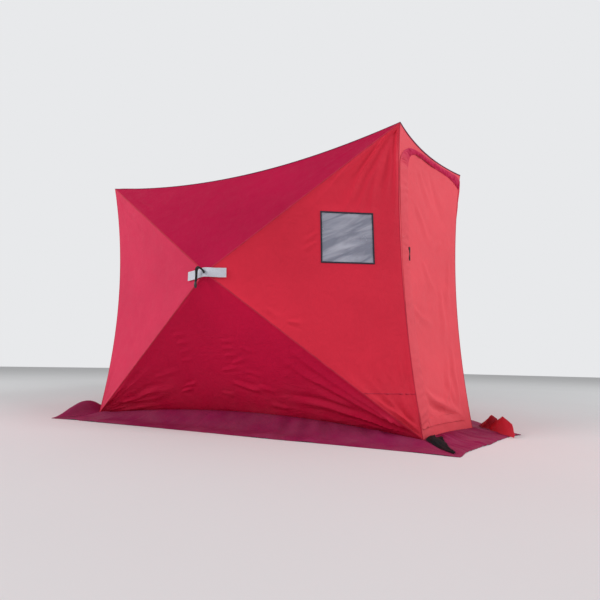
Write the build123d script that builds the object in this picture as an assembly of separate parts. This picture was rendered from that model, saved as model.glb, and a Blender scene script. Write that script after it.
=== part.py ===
from build123d import *
import math
import os

os.makedirs("parts", exist_ok=True)

# Plan at the ground, and the door wall's width under the eave
wall_width = 1800
door_wall_width = 510
door_wall_top_width = 690
door_corner_angle = 125

# Heights and lean
eave_height = 1520
hub_height = 735
roof_hub_height = 2030
middle_height = 760
hub_pop_out = 300
eave_flare = 70
edge_height = 14

# Sag of the fabric between its corners, as a share of each edge
wall_edge_sag = 0.05
side_corner_sag = 0.045
door_corner_sag = 0.033

# Fabric, which is drawn as flat strips between its curved edges
fabric_thickness = 2
layer_gap = 0.3
edge_strips = 8
panel_tip = 0.012
flatness = 0.00001
cut_reach = 400

# Poles, hubs and corner fittings
pole_diameter = 11
pole_fit = 0.2
socket_sides = 8
socket_wall = 3
hub_sides = 12
hub_block_radius = 38
hub_block_depth = 16
hub_pole_depth = 30
hub_stem_radius = 6
hub_cap_radius = 20
hub_cap_thickness = 3
hub_socket_length = 75
pole_hub_gap = 40
pole_corner_gap = 14
corner_inset = 52
corner_socket_length = 62
knuckle_flatness = 0.6
foot_radius = 13

# Door, its surround and storm flap
door_latch_margin = 105
door_hinge_margin = 52
door_top_height = 1440
door_corner_radius = 95
door_gap = 7
hinge_gap = 0.3
sill_height = 62
header_height = 1330
storm_flap_width = 88
zip_pull_height = 900
zip_slider_length = 30
zip_slider_width = 12
zip_slider_thickness = 6
zip_slider_corner = 4
zip_tab_length = 48
zip_tab_width = 9
zip_tab_thickness = 2
zip_tab_corner = 3

# Windows
window_width = 256
window_height = 258
window_from_corner = 289
window_centre_height = 907
window_border = 14
window_border_thickness = 1.5
window_pane_thickness = 1

# Hub strips and pull straps
strip_length = 230
strip_height = 56
strip_thickness = 1
strap_width = 25
strap_thickness = 3
strap_loop_reach = 30
strap_loop_radius = 7
strap_tail_length = 95
toggle_radius = 9

# Snow skirt
skirt_reach = 180
skirt_hem = 60
skirt_thickness = 2
skirt_corner_gap = 6


def at(x, y, z):
    return Vector(x, y, z)


def between(p, q, share):
    return p + (q - p) * share


# Plan of the corners, with the door wall on the line y = 0
lean = math.radians(180 - door_corner_angle)
half_door = door_wall_width / 2
side_x = half_door + wall_width * math.cos(lean)
side_y = wall_width * math.sin(lean)
back_y = side_y + math.sqrt(wall_width**2 - side_x**2)
middle_y = (back_y**2 - half_door**2) / (2 * back_y)
middle = at(0, middle_y, middle_height)
roof_hub = at(0, middle_y, roof_hub_height)
bottom_corner = {
    "door_right": at(half_door, 0, edge_height),
    "right": at(side_x, side_y, edge_height),
    "back": at(0, back_y, edge_height),
    "left": at(-side_x, side_y, edge_height),
    "door_left": at(-half_door, 0, edge_height),
}
corner_names = list(bottom_corner)


def outward(a, b):
    """Level unit vector that points out of the wall from corner a to corner b."""
    along = (b - a).normalized()
    return at(along.Y, -along.X, 0)


def moved_out(name, distance):
    """The corner, with both walls that meet there moved out by the distance."""
    i = corner_names.index(name)
    here = bottom_corner[name]
    n1 = outward(bottom_corner[corner_names[i - 1]], here)
    n2 = outward(here, bottom_corner[corner_names[(i + 1) % len(corner_names)]])
    return here + (n1 + n2) * (distance / (1 + n1.dot(n2)))


# Under the eave the walls lean out, and the door wall is wider than at the ground
top_corner = {}
for name in corner_names:
    spot = moved_out(name, eave_flare)
    top_corner[name] = at(spot.X, spot.Y, eave_height)
top_corner["door_right"] = at(door_wall_top_width / 2, -eave_flare, eave_height)
top_corner["door_left"] = at(-door_wall_top_width / 2, -eave_flare, eave_height)

# Walls with a hub: name, corner beside the window, corner away from it
hub_walls = {
    "front_left": ("door_left", "left"),
    "back_left": ("back", "left"),
    "back_right": ("back", "right"),
    "front_right": ("door_right", "right"),
}

# Sides of the roof and of the skirt, by the corners that they run between
sides = {
    "front": ("door_left", "door_right"),
    "front_right": ("door_right", "right"),
    "back_right": ("right", "back"),
    "back_left": ("back", "left"),
    "front_left": ("left", "door_left"),
}


def bowed(a, b, inward, share):
    """Points from a to b along a parabola, which bows by a share of its length."""
    bow = inward.normalized() * (share * (b - a).length)
    shares = [i / edge_strips for i in range(edge_strips + 1)]
    return [between(a, b, t) + bow * (4 * t * (1 - t)) for t in shares]


def sagging_edge(a, b, share):
    """Edge that the fabric pulls straight in towards the middle of the shelter."""
    along = (b - a).normalized()
    inward = middle - between(a, b, 0.5)
    return bowed(a, b, inward - along * inward.dot(along), share)


def upright_edge(name):
    share = door_corner_sag if name.startswith("door") else side_corner_sag
    return sagging_edge(bottom_corner[name], top_corner[name], share)


def door_wall_row(left):
    """Level line across the door wall from a point on its left upright."""
    return bowed(left, at(-left.X, left.Y, left.Z), at(0, 1, 0), wall_edge_sag)


def level_edge(corners, a, b):
    """Edge along the ground or the eave, from corner a to corner b."""
    if (a, b) == sides["front"]:
        return door_wall_row(corners[a])
    return sagging_edge(corners[a], corners[b], wall_edge_sag)


def grown(points, factor):
    return [middle + (p - middle) * factor for p in points]


def cells(row, other):
    """Faces between two rows of points: flat four-sided ones, or else triangles."""
    faces = []
    for a, b, c, d in zip(row, row[1:], other[1:], other):
        bulge = (b - a).cross(d - a).normalized().dot(c - a)
        rings = [(a, b, c, d)] if abs(bulge) < flatness else [(a, b, c), (a, c, d)]
        faces += [Face(Wire.make_polygon(ring)) for ring in rings]
    return faces


def borders(net):
    return [net[0], net[-1], [row[0] for row in net], [row[-1] for row in net]]


def closed_sheet(low, high):
    """Solid between two nets of points that match row by row."""
    pairs = [pair for net in (low, high) for pair in zip(net, net[1:])]
    pairs += zip(borders(low), borders(high))
    return Solid(Shell([face for pair in pairs for face in cells(*pair)]))


def net_distance(net):
    """Distance from the middle to the flat plane nearest the net's corners."""
    a, b, c = net[0][0], net[0][-1], net[-1][edge_strips // 2]
    return abs((b - a).cross(c - a).normalized().dot(a - middle))


def skin(net, bottom, top):
    """Closed sheet over a net of points, from one depth to another.

    Both faces are copies of the net scaled about the middle, so that the sides of
    neighbouring sheets lie in one plane through the middle.
    """
    distance = net_distance(net)
    low = [grown(row, 1 + bottom / distance) for row in net]
    high = [grown(row, 1 + top / distance) for row in net]
    return closed_sheet(low, high)


def fan_net(edge, hub):
    """Net of a panel whose strips run from its edge to a small tip beside the hub."""
    return [edge, [between(hub, p, panel_tip) for p in edge]]


def wall_hub(wall):
    """Hub of a wall, and the level direction that it faces."""
    a, b = (bottom_corner[name] for name in hub_walls[wall])
    c, d = (top_corner[name] for name in hub_walls[wall])
    rise = (hub_height - edge_height) / (eave_height - edge_height)
    spot = between(between(a, b, 0.5), between(c, d, 0.5), rise)
    side = outward(a, b)
    if side.dot(spot - middle) < 0:
        side = -side
    return at(spot.X, spot.Y, hub_height) + side * hub_pop_out, side


def wall_nets(wall):
    """Nets of the four triangles of a wall."""
    near, far = hub_walls[wall]
    hub, _ = wall_hub(wall)
    edges = {
        "lower": level_edge(bottom_corner, near, far),
        "upper": level_edge(top_corner, near, far),
        "window": upright_edge(near),
        "plain": upright_edge(far),
    }
    return {name: fan_net(edge, hub) for name, edge in edges.items()}


def roof_net(place):
    return fan_net(level_edge(top_corner, *sides[place]), roof_hub)


def window_frame_plane(net):
    """Plane on a wall triangle at the window's centre, with its x level."""
    base, top, apex = net[0][0], net[0][-1], net[-1][edge_strips // 2]
    normal = (top - base).cross(apex - base).normalized()
    if normal.dot(base - middle) < 0:
        normal = -normal
    level = at(0, 0, 1).cross(normal).normalized()
    if level.dot(apex - base) < 0:
        level = -level
    rise = (window_centre_height - base.Z) / (top.Z - base.Z)
    spot = between(base, top, rise) + level * window_from_corner
    return Plane(spot, x_dir=level, z_dir=normal)


def through(plane, width, height):
    """Block that cuts through the fabric on both sides of a plane."""
    return extrude(plane * Rectangle(width, height), cut_reach, both=True)


parts = {}

# Wall panels, with a window in the triangle beside the upright
window_frames = []
window_panes = []
for wall in hub_walls:
    nets = wall_nets(wall)
    plane = window_frame_plane(nets["window"])
    opening = through(plane, window_width, window_height)
    rim = through(plane, window_width + 2 * window_border, window_height + 2 * window_border)
    for place, net in nets.items():
        sheet = skin(net, -fabric_thickness, 0)
        if place == "window":
            sheet -= opening
        parts[f"{wall}_{place}_panel"] = sheet
    pane_top = (window_pane_thickness - fabric_thickness) / 2
    pane_cut = through(plane, window_width - 2 * layer_gap, window_height - 2 * layer_gap)
    window_panes.append(skin(nets["window"], pane_top - window_pane_thickness, pane_top) & pane_cut)
    border = skin(nets["window"], layer_gap, layer_gap + window_border_thickness)
    window_frames.append((border & rim) - opening)
parts["window_frames"] = Compound(children=window_frames)
parts["window_panes"] = Compound(children=window_panes)

# Roof panels
for place in sides:
    parts[f"roof_{place}_panel"] = skin(roof_net(place), -fabric_thickness, 0)

# Door wall: one curved net, cut into jambs, header, sill and door
door_wall_net = [door_wall_row(left) for left in upright_edge("door_left")]
door_bottom = edge_height + sill_height


def wall_half_width(height):
    rise = (height - edge_height) / (eave_height - edge_height)
    return half_door + rise * (door_wall_top_width / 2 - half_door)


def door_left_x(height):
    return door_latch_margin - wall_half_width(height)


def door_right_x(height):
    return wall_half_width(height) - door_hinge_margin


def arch(grow, hinge_grow):
    """Door outline through the wall, grown by a margin and round at the top."""
    low, high = door_bottom - grow, door_top_height + grow
    outline = Polyline(
        (door_left_x(low) - grow, low),
        (door_right_x(low) + hinge_grow, low),
        (door_right_x(high) + hinge_grow, high),
        (door_left_x(high) - grow, high),
        close=True,
    )
    face = make_face(outline)
    face = fillet(face.vertices().sort_by(Axis.Y)[-2:], door_corner_radius + grow)
    return extrude(Plane.XZ * face, cut_reach, both=True)


def block(x0, x1, z0, z1):
    """Box through the door wall, by its place in the front elevation."""
    return Pos((x0 + x1) / 2, 0, (z0 + z1) / 2) * Box(x1 - x0, 2 * cut_reach, z1 - z0)


wide = door_wall_top_width
surround = skin(door_wall_net, -fabric_thickness, 0) - arch(door_gap, hinge_gap)
sill_top = door_bottom - door_gap
parts["door_left_jamb"] = surround & block(-wide, 0, sill_top, header_height)
parts["door_right_jamb"] = surround & block(0, wide, sill_top, header_height)
parts["door_header"] = surround & block(-wide, wide, header_height, roof_hub_height)
parts["door_sill"] = surround & block(-wide, wide, 0, sill_top)
parts["door"] = skin(door_wall_net, -fabric_thickness, 0) & arch(0, 0)

# Storm flap over the zip: up the latch side and along under the eave
flap_reach = door_gap + storm_flap_width
flap_ring = arch(flap_reach, flap_reach) - arch(door_gap, hinge_gap)
flap_end = block(-wide, door_right_x(door_top_height) - door_corner_radius, door_bottom, roof_hub_height)
flap_sheet = skin(door_wall_net, layer_gap, layer_gap + fabric_thickness)
parts["storm_flap"] = flap_sheet & flap_ring & flap_end

# Hubs: their place, the way they face, the corners that their poles reach and their panels
hubs = {}
for wall, names in hub_walls.items():
    hub, facing = wall_hub(wall)
    ends = [corners[name] for corners in (bottom_corner, top_corner) for name in names]
    hubs[wall] = (hub, facing, ends, list(wall_nets(wall).values()))
hubs["roof"] = (roof_hub, at(0, 0, 1), list(top_corner.values()), [roof_net(place) for place in sides])


def fall(place, spot):
    """How far the fabric falls back for each millimetre away from the hub's axis."""
    hub, facing, _, _ = hubs[place]
    back = facing.dot(hub - spot)
    return back / math.sqrt((hub - spot).length ** 2 - back**2)


def steepest_fall(place):
    return max(fall(place, net[0][edge_strips // 2]) for net in hubs[place][3])


def gentlest_fall(place):
    return min(fall(place, corner) for corner in hubs[place][2])


pole_radius = pole_diameter / 2


def bar(a, b, radius, sides=None):
    """Bar from a to b: round, or with flats at the radius from its axis."""
    profile = Circle(radius) if sides is None else RegularPolygon(radius, sides, major_radius=False)
    return extrude(Plane(a, z_dir=b - a) * profile, (b - a).length)


def hub_seat(place):
    """Point inside a hub where the axes of its poles meet."""
    hub, facing, _, _ = hubs[place]
    return hub - facing * hub_pole_depth


def corner_seat(corner):
    """Point inside a corner of the fabric where the axes of its poles meet."""
    return corner + (middle - corner).normalized() * corner_inset


def pole_ends(place, corner, room=0):
    seat, knuckle = hub_seat(place), corner_seat(corner)
    along = (knuckle - seat).normalized()
    return seat + along * (pole_hub_gap - room), knuckle - along * (pole_corner_gap - room)


def pole(place, corner):
    return bar(*pole_ends(place, corner), pole_radius)


def bore(place, corner):
    return bar(*pole_ends(place, corner, pole_fit), pole_radius + pole_fit, socket_sides)


def socket(seat, towards, length):
    along = (towards - seat).normalized()
    return bar(seat, seat + along * length, pole_radius + socket_wall, socket_sides)


wall_pole_list = [pole(wall, corner) for wall in hub_walls for corner in hubs[wall][2]]
parts["wall_poles"] = Compound(children=wall_pole_list)
parts["roof_poles"] = Compound(children=[pole("roof", corner) for corner in hubs["roof"][2]])


def frustum(place, low, low_radius, high, high_radius):
    """Many-sided piece about a hub's axis, between two heights over the hub."""
    hub, facing, _, _ = hubs[place]
    frame = Plane(hub, z_dir=facing)
    turns = [2 * math.pi * i / hub_sides for i in range(hub_sides + 1)]
    rings = []
    for height, radius in ((low, low_radius), (high, high_radius)):
        points = [at(radius * math.cos(turn), radius * math.sin(turn), height) for turn in turns]
        rings.append([frame.from_local_coords(point) for point in points])
    ends = [Face(Wire.make_polygon(ring[:-1])) for ring in rings]
    return Solid(Shell(cells(*rings) + ends))


def over_fabric(place):
    """Height on a hub's axis that clears the strip and the fabric under it."""
    return (2 * layer_gap + strip_thickness) * math.sqrt(1 + gentlest_fall(place) ** 2)


def hub_solid(place):
    """Block under the fabric with a socket for each pole, and a cap outside on a stem."""
    steep = steepest_fall(place)
    under = -(fabric_thickness + layer_gap) * math.sqrt(1 + steep**2)
    over = over_fabric(place)
    rim, stem, cap = hub_block_radius, hub_stem_radius, hub_cap_radius
    shoulder = under - steep * rim
    body = frustum(place, shoulder - hub_block_depth, rim, shoulder, rim)
    body += frustum(place, shoulder, rim, under - steep * stem, stem)
    body += frustum(place, shoulder, stem, over, stem)
    body += frustum(place, over, cap, over + hub_cap_thickness, cap - hub_cap_thickness)
    seat = hub_seat(place)
    for corner in hubs[place][2]:
        body += socket(seat, corner_seat(corner), hub_socket_length)
    for corner in hubs[place][2]:
        body -= bore(place, corner)
    return body


parts["wall_hubs"] = Compound(children=[hub_solid(wall) for wall in hub_walls])
parts["roof_hub"] = hub_solid("roof")


def fabric_near(name):
    """Sheets that meet at a corner, for measuring how much room they leave."""
    near = [parts[f"roof_{place}_panel"] for place, names in sides.items() if name in names]
    for wall, names in hub_walls.items():
        if name in names:
            near += [parts[f"{wall}_{place}_panel"] for place in wall_nets(wall)]
    if name.startswith("door"):
        near += [parts["door_sill"], parts["door_header"], parts[f"{name}_jamb"]]
    return near


def corner_solid(name, corner, on_ground):
    """Knuckle in a corner of the fabric, with a socket for each pole and a foot below."""
    seat = corner_seat(corner)
    room = min(sheet.distance_to(seat) for sheet in fabric_near(name)) - layer_gap
    half_height = room * knuckle_flatness
    knuckle_radius = math.sqrt(room**2 - half_height**2) * math.cos(math.pi / socket_sides)
    axis = (corner - middle).normalized() * half_height
    body = bar(seat - axis, seat + axis, knuckle_radius, socket_sides)
    places = [place for place, hub in hubs.items() if corner in hub[2]]
    for place in places:
        body += socket(seat, hub_seat(place), corner_socket_length)
    if on_ground:
        body += bar(at(seat.X, seat.Y, 0), seat, foot_radius, socket_sides)
    for place in places:
        body -= bore(place, corner)
    return body


top_fittings = [corner_solid(name, top_corner[name], False) for name in corner_names]
bottom_feet = [corner_solid(name, bottom_corner[name], True) for name in corner_names]
parts["top_corner_fittings"] = Compound(children=top_fittings)
parts["bottom_corner_feet"] = Compound(children=bottom_feet)


# Reflective strip over each hub, on top of the fabric
def strip(wall):
    hub, facing = wall_hub(wall)
    level = at(0, 0, 1).cross(facing)
    band = through(Plane(hub, x_dir=level, z_dir=facing), strip_length, strip_height)
    layers = [skin(net, layer_gap, layer_gap + strip_thickness) & band for net in hubs[wall][3]]
    whole = layers[0]
    for layer in layers[1:]:
        whole += layer
    return whole


parts["reflective_strips"] = Compound(children=[strip(wall) for wall in hub_walls])


# Snow skirt: slopes from the bottom edge of a wall to a hem that lies on the ground
def skirt(a, b):
    edge = level_edge(bottom_corner, a, b)
    end = (edge[1] - edge[0]).normalized() * skirt_corner_gap
    other_end = (edge[-2] - edge[-1]).normalized() * skirt_corner_gap
    top = [edge[0] + end, *edge[1:-1], edge[-1] + other_end]
    rows = [[p - at(0, 0, layer_gap) for p in top]]
    for distance in (skirt_reach - skirt_hem, skirt_reach):
        start, stop = moved_out(a, distance), moved_out(b, distance)
        gap = (stop - start).normalized() * skirt_corner_gap
        line = bowed(start + gap, stop - gap, middle - start, 0)
        rows.append([at(p.X, p.Y, skirt_thickness) for p in line])
    drop = at(0, 0, skirt_thickness)
    return closed_sheet([[p - drop for p in row] for row in rows], rows)


for place, (a, b) in sides.items():
    parts[f"{place}_skirt"] = skirt(a, b)


# Pull strap on each wall hub: a loop of webbing whose tail hangs down to a toggle
def pull_strap(wall):
    hub, facing = wall_hub(wall)
    root = over_fabric(wall) + hub_cap_thickness + layer_gap + strap_thickness / 2
    reach = root + strap_loop_reach
    path = FilletPolyline(
        (root, strap_width / 2),
        (reach, strap_width / 4),
        (reach - strap_loop_radius, -strap_tail_length / 3),
        (reach, -strap_tail_length),
        radius=strap_loop_radius,
    )
    foot = Line((root, -strap_width / 2), (root, strap_width / 2))
    profile = trace(foot + path, line_width=strap_thickness)
    side = Plane(hub, x_dir=facing, z_dir=facing.cross(at(0, 0, 1)))
    webbing = extrude(side * profile, strap_width / 2, both=True)
    bead = RegularPolygon(toggle_radius, socket_sides)
    toggle = extrude(side * Pos(reach, -strap_tail_length) * bead, strap_width / 2, both=True)
    return webbing + toggle


parts["pull_straps"] = Compound(children=[pull_strap(wall) for wall in hub_walls])


# Zip slider with its tab, on the door beside the open edge
def along_points(points, share):
    """Point at a share of the way along a row of evenly numbered points."""
    i = min(int(share * edge_strips), edge_strips - 1)
    return between(points[i], points[i + 1], share * edge_strips - i)


def door_wall_point(u, v):
    return along_points([along_points(row, u) for row in door_wall_net], v)


def door_spot(x, height):
    """Place on the door wall, as shares across and up, from its x and about its height."""
    v = (height - edge_height) / (eave_height - edge_height)
    left, right = door_wall_point(0, v), door_wall_point(1, v)
    return (x - left.X) / (right.X - left.X), v


def zip_pull():
    beside_edge = layer_gap + zip_slider_width / 2
    u, v = door_spot(door_left_x(zip_pull_height) + beside_edge, zip_pull_height)
    step = 0.01
    across = door_wall_point(u + step, v) - door_wall_point(u - step, v)
    up = door_wall_point(u, v + step) - door_wall_point(u, v - step)
    face = Plane(door_wall_point(u, v), x_dir=across, z_dir=across.cross(up))
    slider_outline = RectangleRounded(zip_slider_width, zip_slider_length, zip_slider_corner)
    slider = extrude(face * Pos(0, 0, layer_gap) * slider_outline, zip_slider_thickness)
    drop = (zip_slider_width - zip_slider_length - zip_tab_length) / 2
    lift = layer_gap + zip_slider_thickness / 2
    tab_outline = RectangleRounded(zip_tab_width, zip_tab_length, zip_tab_corner)
    return slider + extrude(face * Pos(0, drop, lift) * tab_outline, zip_tab_thickness)


parts["zip_pull"] = zip_pull()


def hinge_line():
    """Axis that the door swings about: along its sewn edge, just inside the fabric."""
    low, high = door_bottom, door_top_height - door_corner_radius
    heights = [low + (high - low) * i / edge_strips for i in range(edge_strips + 1)]
    places = [door_spot(door_right_x(height) + hinge_gap / 2, height) for height in heights]
    spots = [door_wall_point(*place) for place in places]
    axis = (spots[-1] - spots[0]).normalized()
    inward = [(spot - spots[0] - axis * axis.dot(spot - spots[0])).Y for spot in spots]
    return spots[0] + at(0, max(inward) + 2 * fabric_thickness, 0), axis


# The origin lies on the ground at the middle of the whole shelter's box
whole = Compound(list(parts.values())).bounding_box()
shift = at(-whole.center().X, -whole.center().Y, 0)
for name, shape in parts.items():
    placed = Pos(*shift) * shape
    placed.label = name
    export_step(placed, f"parts/{name}.step")
hinge_point, hinge_axis = hinge_line()
print("moved by", shift, "door hinge through", hinge_point + shift, "along", hinge_axis)
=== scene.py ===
import math

import bpy
import numpy as np
from mathutils import Matrix
from numpy.linalg import norm


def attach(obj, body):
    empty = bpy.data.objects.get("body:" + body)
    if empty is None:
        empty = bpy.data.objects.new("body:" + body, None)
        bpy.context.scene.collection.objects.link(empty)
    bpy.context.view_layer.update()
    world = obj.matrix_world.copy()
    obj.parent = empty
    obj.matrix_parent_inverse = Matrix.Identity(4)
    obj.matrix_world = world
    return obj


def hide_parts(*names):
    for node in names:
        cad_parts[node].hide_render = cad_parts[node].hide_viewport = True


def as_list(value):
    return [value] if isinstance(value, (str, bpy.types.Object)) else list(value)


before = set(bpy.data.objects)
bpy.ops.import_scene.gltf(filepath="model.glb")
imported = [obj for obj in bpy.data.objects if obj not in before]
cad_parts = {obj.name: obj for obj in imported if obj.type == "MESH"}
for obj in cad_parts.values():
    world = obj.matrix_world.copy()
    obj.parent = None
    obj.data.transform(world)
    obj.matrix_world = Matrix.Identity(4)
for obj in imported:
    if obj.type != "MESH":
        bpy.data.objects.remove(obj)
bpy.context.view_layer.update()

# Driving dimensions of the shelter in metres, as in the part's source
PLAN_SHIFT = -1.39996
WALL_WIDTH = 1.8
DOOR_WALL_WIDTH = 0.51
DOOR_WALL_TOP_WIDTH = 0.69
DOOR_CORNER_ANGLE = math.radians(125)
EAVE_HEIGHT = 1.52
HUB_HEIGHT = 0.735
ROOF_HUB_HEIGHT = 2.03
MIDDLE_HEIGHT = 0.76
HUB_POP_OUT = 0.30
EAVE_FLARE = 0.07
EDGE_HEIGHT = 0.014
WALL_EDGE_SAG = 0.05
SIDE_CORNER_SAG = 0.045
DOOR_CORNER_SAG = 0.033
PANEL_TIP = 0.012
DOOR_LATCH_MARGIN = 0.105
DOOR_HINGE_MARGIN = 0.052
DOOR_BOTTOM = 0.076
DOOR_TOP = 1.474
DOOR_CORNER_RADIUS = 0.095
HINGE_CORNER_RADIUS = 0.04
DOOR_GAP = 0.007
HINGE_GAP = 0.0003
FLAP_WIDTH = 0.088
WINDOW_WIDTH = 0.245
WINDOW_HEIGHT = 0.244
WINDOW_FROM_CORNER = 0.290
WINDOW_CENTRE_HEIGHT = 0.925
WINDOW_BORDER = 0.0055
STRIP_LENGTH = 0.214
STRIP_HEIGHT = 0.045
STRIP_SHIFT = 0.010
SKIRT_REACH = 0.18

# Cloth and trim
CLOTH = 0.0014
FILM_THICKNESS = 0.0008
FILM_GAP = 0.0006
STRIP_THICKNESS = 0.0009
BUNCHED_THICKNESS = 0.0016
FOLD_FADE = 0.02
HUB_CALM = 0.045
HUB_FADE = 0.09
FOLD_STRENGTH = 0.9
WEAVE = 0.0016
SHARP_ANGLE = math.radians(45)
MIN_AREA_SHARE = 0.301
FLAP_LENGTH = 1.9
FLAP_LIFT = 0.0022
ZIP_LENGTH = 3.4
ZIP_OVERLAP = 0.001
HEM_ABOVE = 0.014
HEM_DROP = 0.034
SKIRT_LIFT = 0.0018
SKIRT_CORNER_GAP = 0.0010
SKIRT_TUCK = 0.0005
BUNCHED_FOOT = 0.003

# Bands over seams: half width and height; their borders lie a little under the cloth
SEAM = 0.004, 0.0008
DOOR_SEAM = 0.0028, 0.0007
EAVE_SEAM = 0.0045, 0.002
BAND_FOOT = 0.0006

# Stitched line of the corner patch: half width, then from and to along its panel, and height
LINE_HALF_WIDTH = 0.0028
PATCH_LINE = 0.014, 0.245, 0.188

ENDS = np.array([0.0, 1.0])
UP = np.array([0.0, 0.0, 1.0])


def at(x, y, z=0.0):
    return np.array([x, y, z], float)


def unit(v):
    return v / norm(v, axis=-1, keepdims=True)


def smooth(x):
    x = np.clip(x, 0, 1)
    return x * x * (3 - 2 * x)


def hump(x, power=1.0):
    """0 at 0 and 1, and 1 half way."""
    return np.sin(np.pi * np.clip(x, 0, 1)) ** power


def mix(a, b, share):
    return a + (b - a) * share


def paired(a, b):
    return np.stack(np.broadcast_arrays(a, b), -1)


def shares(count):
    return np.linspace(0, 1, count)


def crossed(down, over):
    """Grid of the values down it and over it."""
    return np.meshgrid(down, over, indexing="ij")


def noise(x, y, seed):
    """Smooth seeded noise from -1 to 1 over the plane."""
    i, j = np.floor(x), np.floor(y)
    u, v = smooth(x - i), smooth(y - j)

    def lattice(a, b):
        h = np.sin(a * 127.1 + b * 311.7 + seed * 74.7) * 43758.5453
        return h - np.floor(h)

    low = mix(lattice(i, j), lattice(i + 1, j), u)
    high = mix(lattice(i, j + 1), lattice(i + 1, j + 1), u)
    return 2 * mix(low, high, v) - 1


# Corners of the plan
lean = math.pi - DOOR_CORNER_ANGLE
half_door = DOOR_WALL_WIDTH / 2
side_x = half_door + WALL_WIDTH * math.cos(lean)
side_y = WALL_WIDTH * math.sin(lean)
back_y = side_y + math.sqrt(WALL_WIDTH**2 - side_x**2)
middle_y = (back_y**2 - half_door**2) / (2 * back_y) + PLAN_SHIFT
middle = at(0, middle_y, MIDDLE_HEIGHT)
roof_hub = at(0, middle_y, ROOF_HUB_HEIGHT)
bottom = {
    "door_right": at(half_door, PLAN_SHIFT, EDGE_HEIGHT),
    "right": at(side_x, side_y + PLAN_SHIFT, EDGE_HEIGHT),
    "back": at(0, back_y + PLAN_SHIFT, EDGE_HEIGHT),
    "left": at(-side_x, side_y + PLAN_SHIFT, EDGE_HEIGHT),
    "door_left": at(-half_door, PLAN_SHIFT, EDGE_HEIGHT),
}
corner_names = list(bottom)


def outward(a, b):
    along = unit((b - a) * (1, 1, 0))
    return at(along[1], -along[0])


def moved_out(name, distance):
    i = corner_names.index(name)
    here = bottom[name]
    n1 = outward(bottom[corner_names[i - 1]], here)
    n2 = outward(here, bottom[corner_names[(i + 1) % 5]])
    return here + (n1 + n2) * (distance / (1 + n1 @ n2))


top = {}
for name in corner_names:
    spot = moved_out(name, EAVE_FLARE)
    top[name] = at(spot[0], spot[1], EAVE_HEIGHT)
for name, side in (("door_left", -1), ("door_right", 1)):
    top[name] = at(side * DOOR_WALL_TOP_WIDTH / 2, PLAN_SHIFT - EAVE_FLARE, EAVE_HEIGHT)

hub_walls = {
    "front_left": ("door_left", "left"),
    "back_left": ("back", "left"),
    "back_right": ("back", "right"),
    "front_right": ("door_right", "right"),
}
sides = {
    "front": ("door_left", "door_right"),
    "front_right": ("door_right", "right"),
    "back_right": ("right", "back"),
    "back_left": ("back", "left"),
    "front_left": ("left", "door_left"),
}


def bowed(a, b, inward, share):
    """Curve from a to b that bows by a share of its length, as a function of t."""
    bow = unit(inward) * share * norm(b - a)
    return lambda t: a + (b - a) * t[..., None] + bow * (4 * t * (1 - t))[..., None]


def sagging(a, b, share):
    along = unit(b - a)
    inward = middle - (a + b) / 2
    return bowed(a, b, inward - along * (inward @ along), share)


def upright(name):
    share = DOOR_CORNER_SAG if name.startswith("door") else SIDE_CORNER_SAG
    return sagging(bottom[name], top[name], share)


def level_edge(corners, a, b):
    if (a, b) == sides["front"]:
        return bowed(corners[a], corners[b], at(0, 1), WALL_EDGE_SAG)
    return sagging(corners[a], corners[b], WALL_EDGE_SAG)


def wall_hub(wall):
    (a, b), (c, d) = ([corners[name] for name in hub_walls[wall]] for corners in (bottom, top))
    rise = (HUB_HEIGHT - EDGE_HEIGHT) / (EAVE_HEIGHT - EDGE_HEIGHT)
    spot = mix((a + b) / 2, (c + d) / 2, rise)
    facing = outward(a, b)
    if facing @ (spot - middle) < 0:
        facing = -facing
    return at(spot[0], spot[1], HUB_HEIGHT) + facing * HUB_POP_OUT, facing


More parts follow.
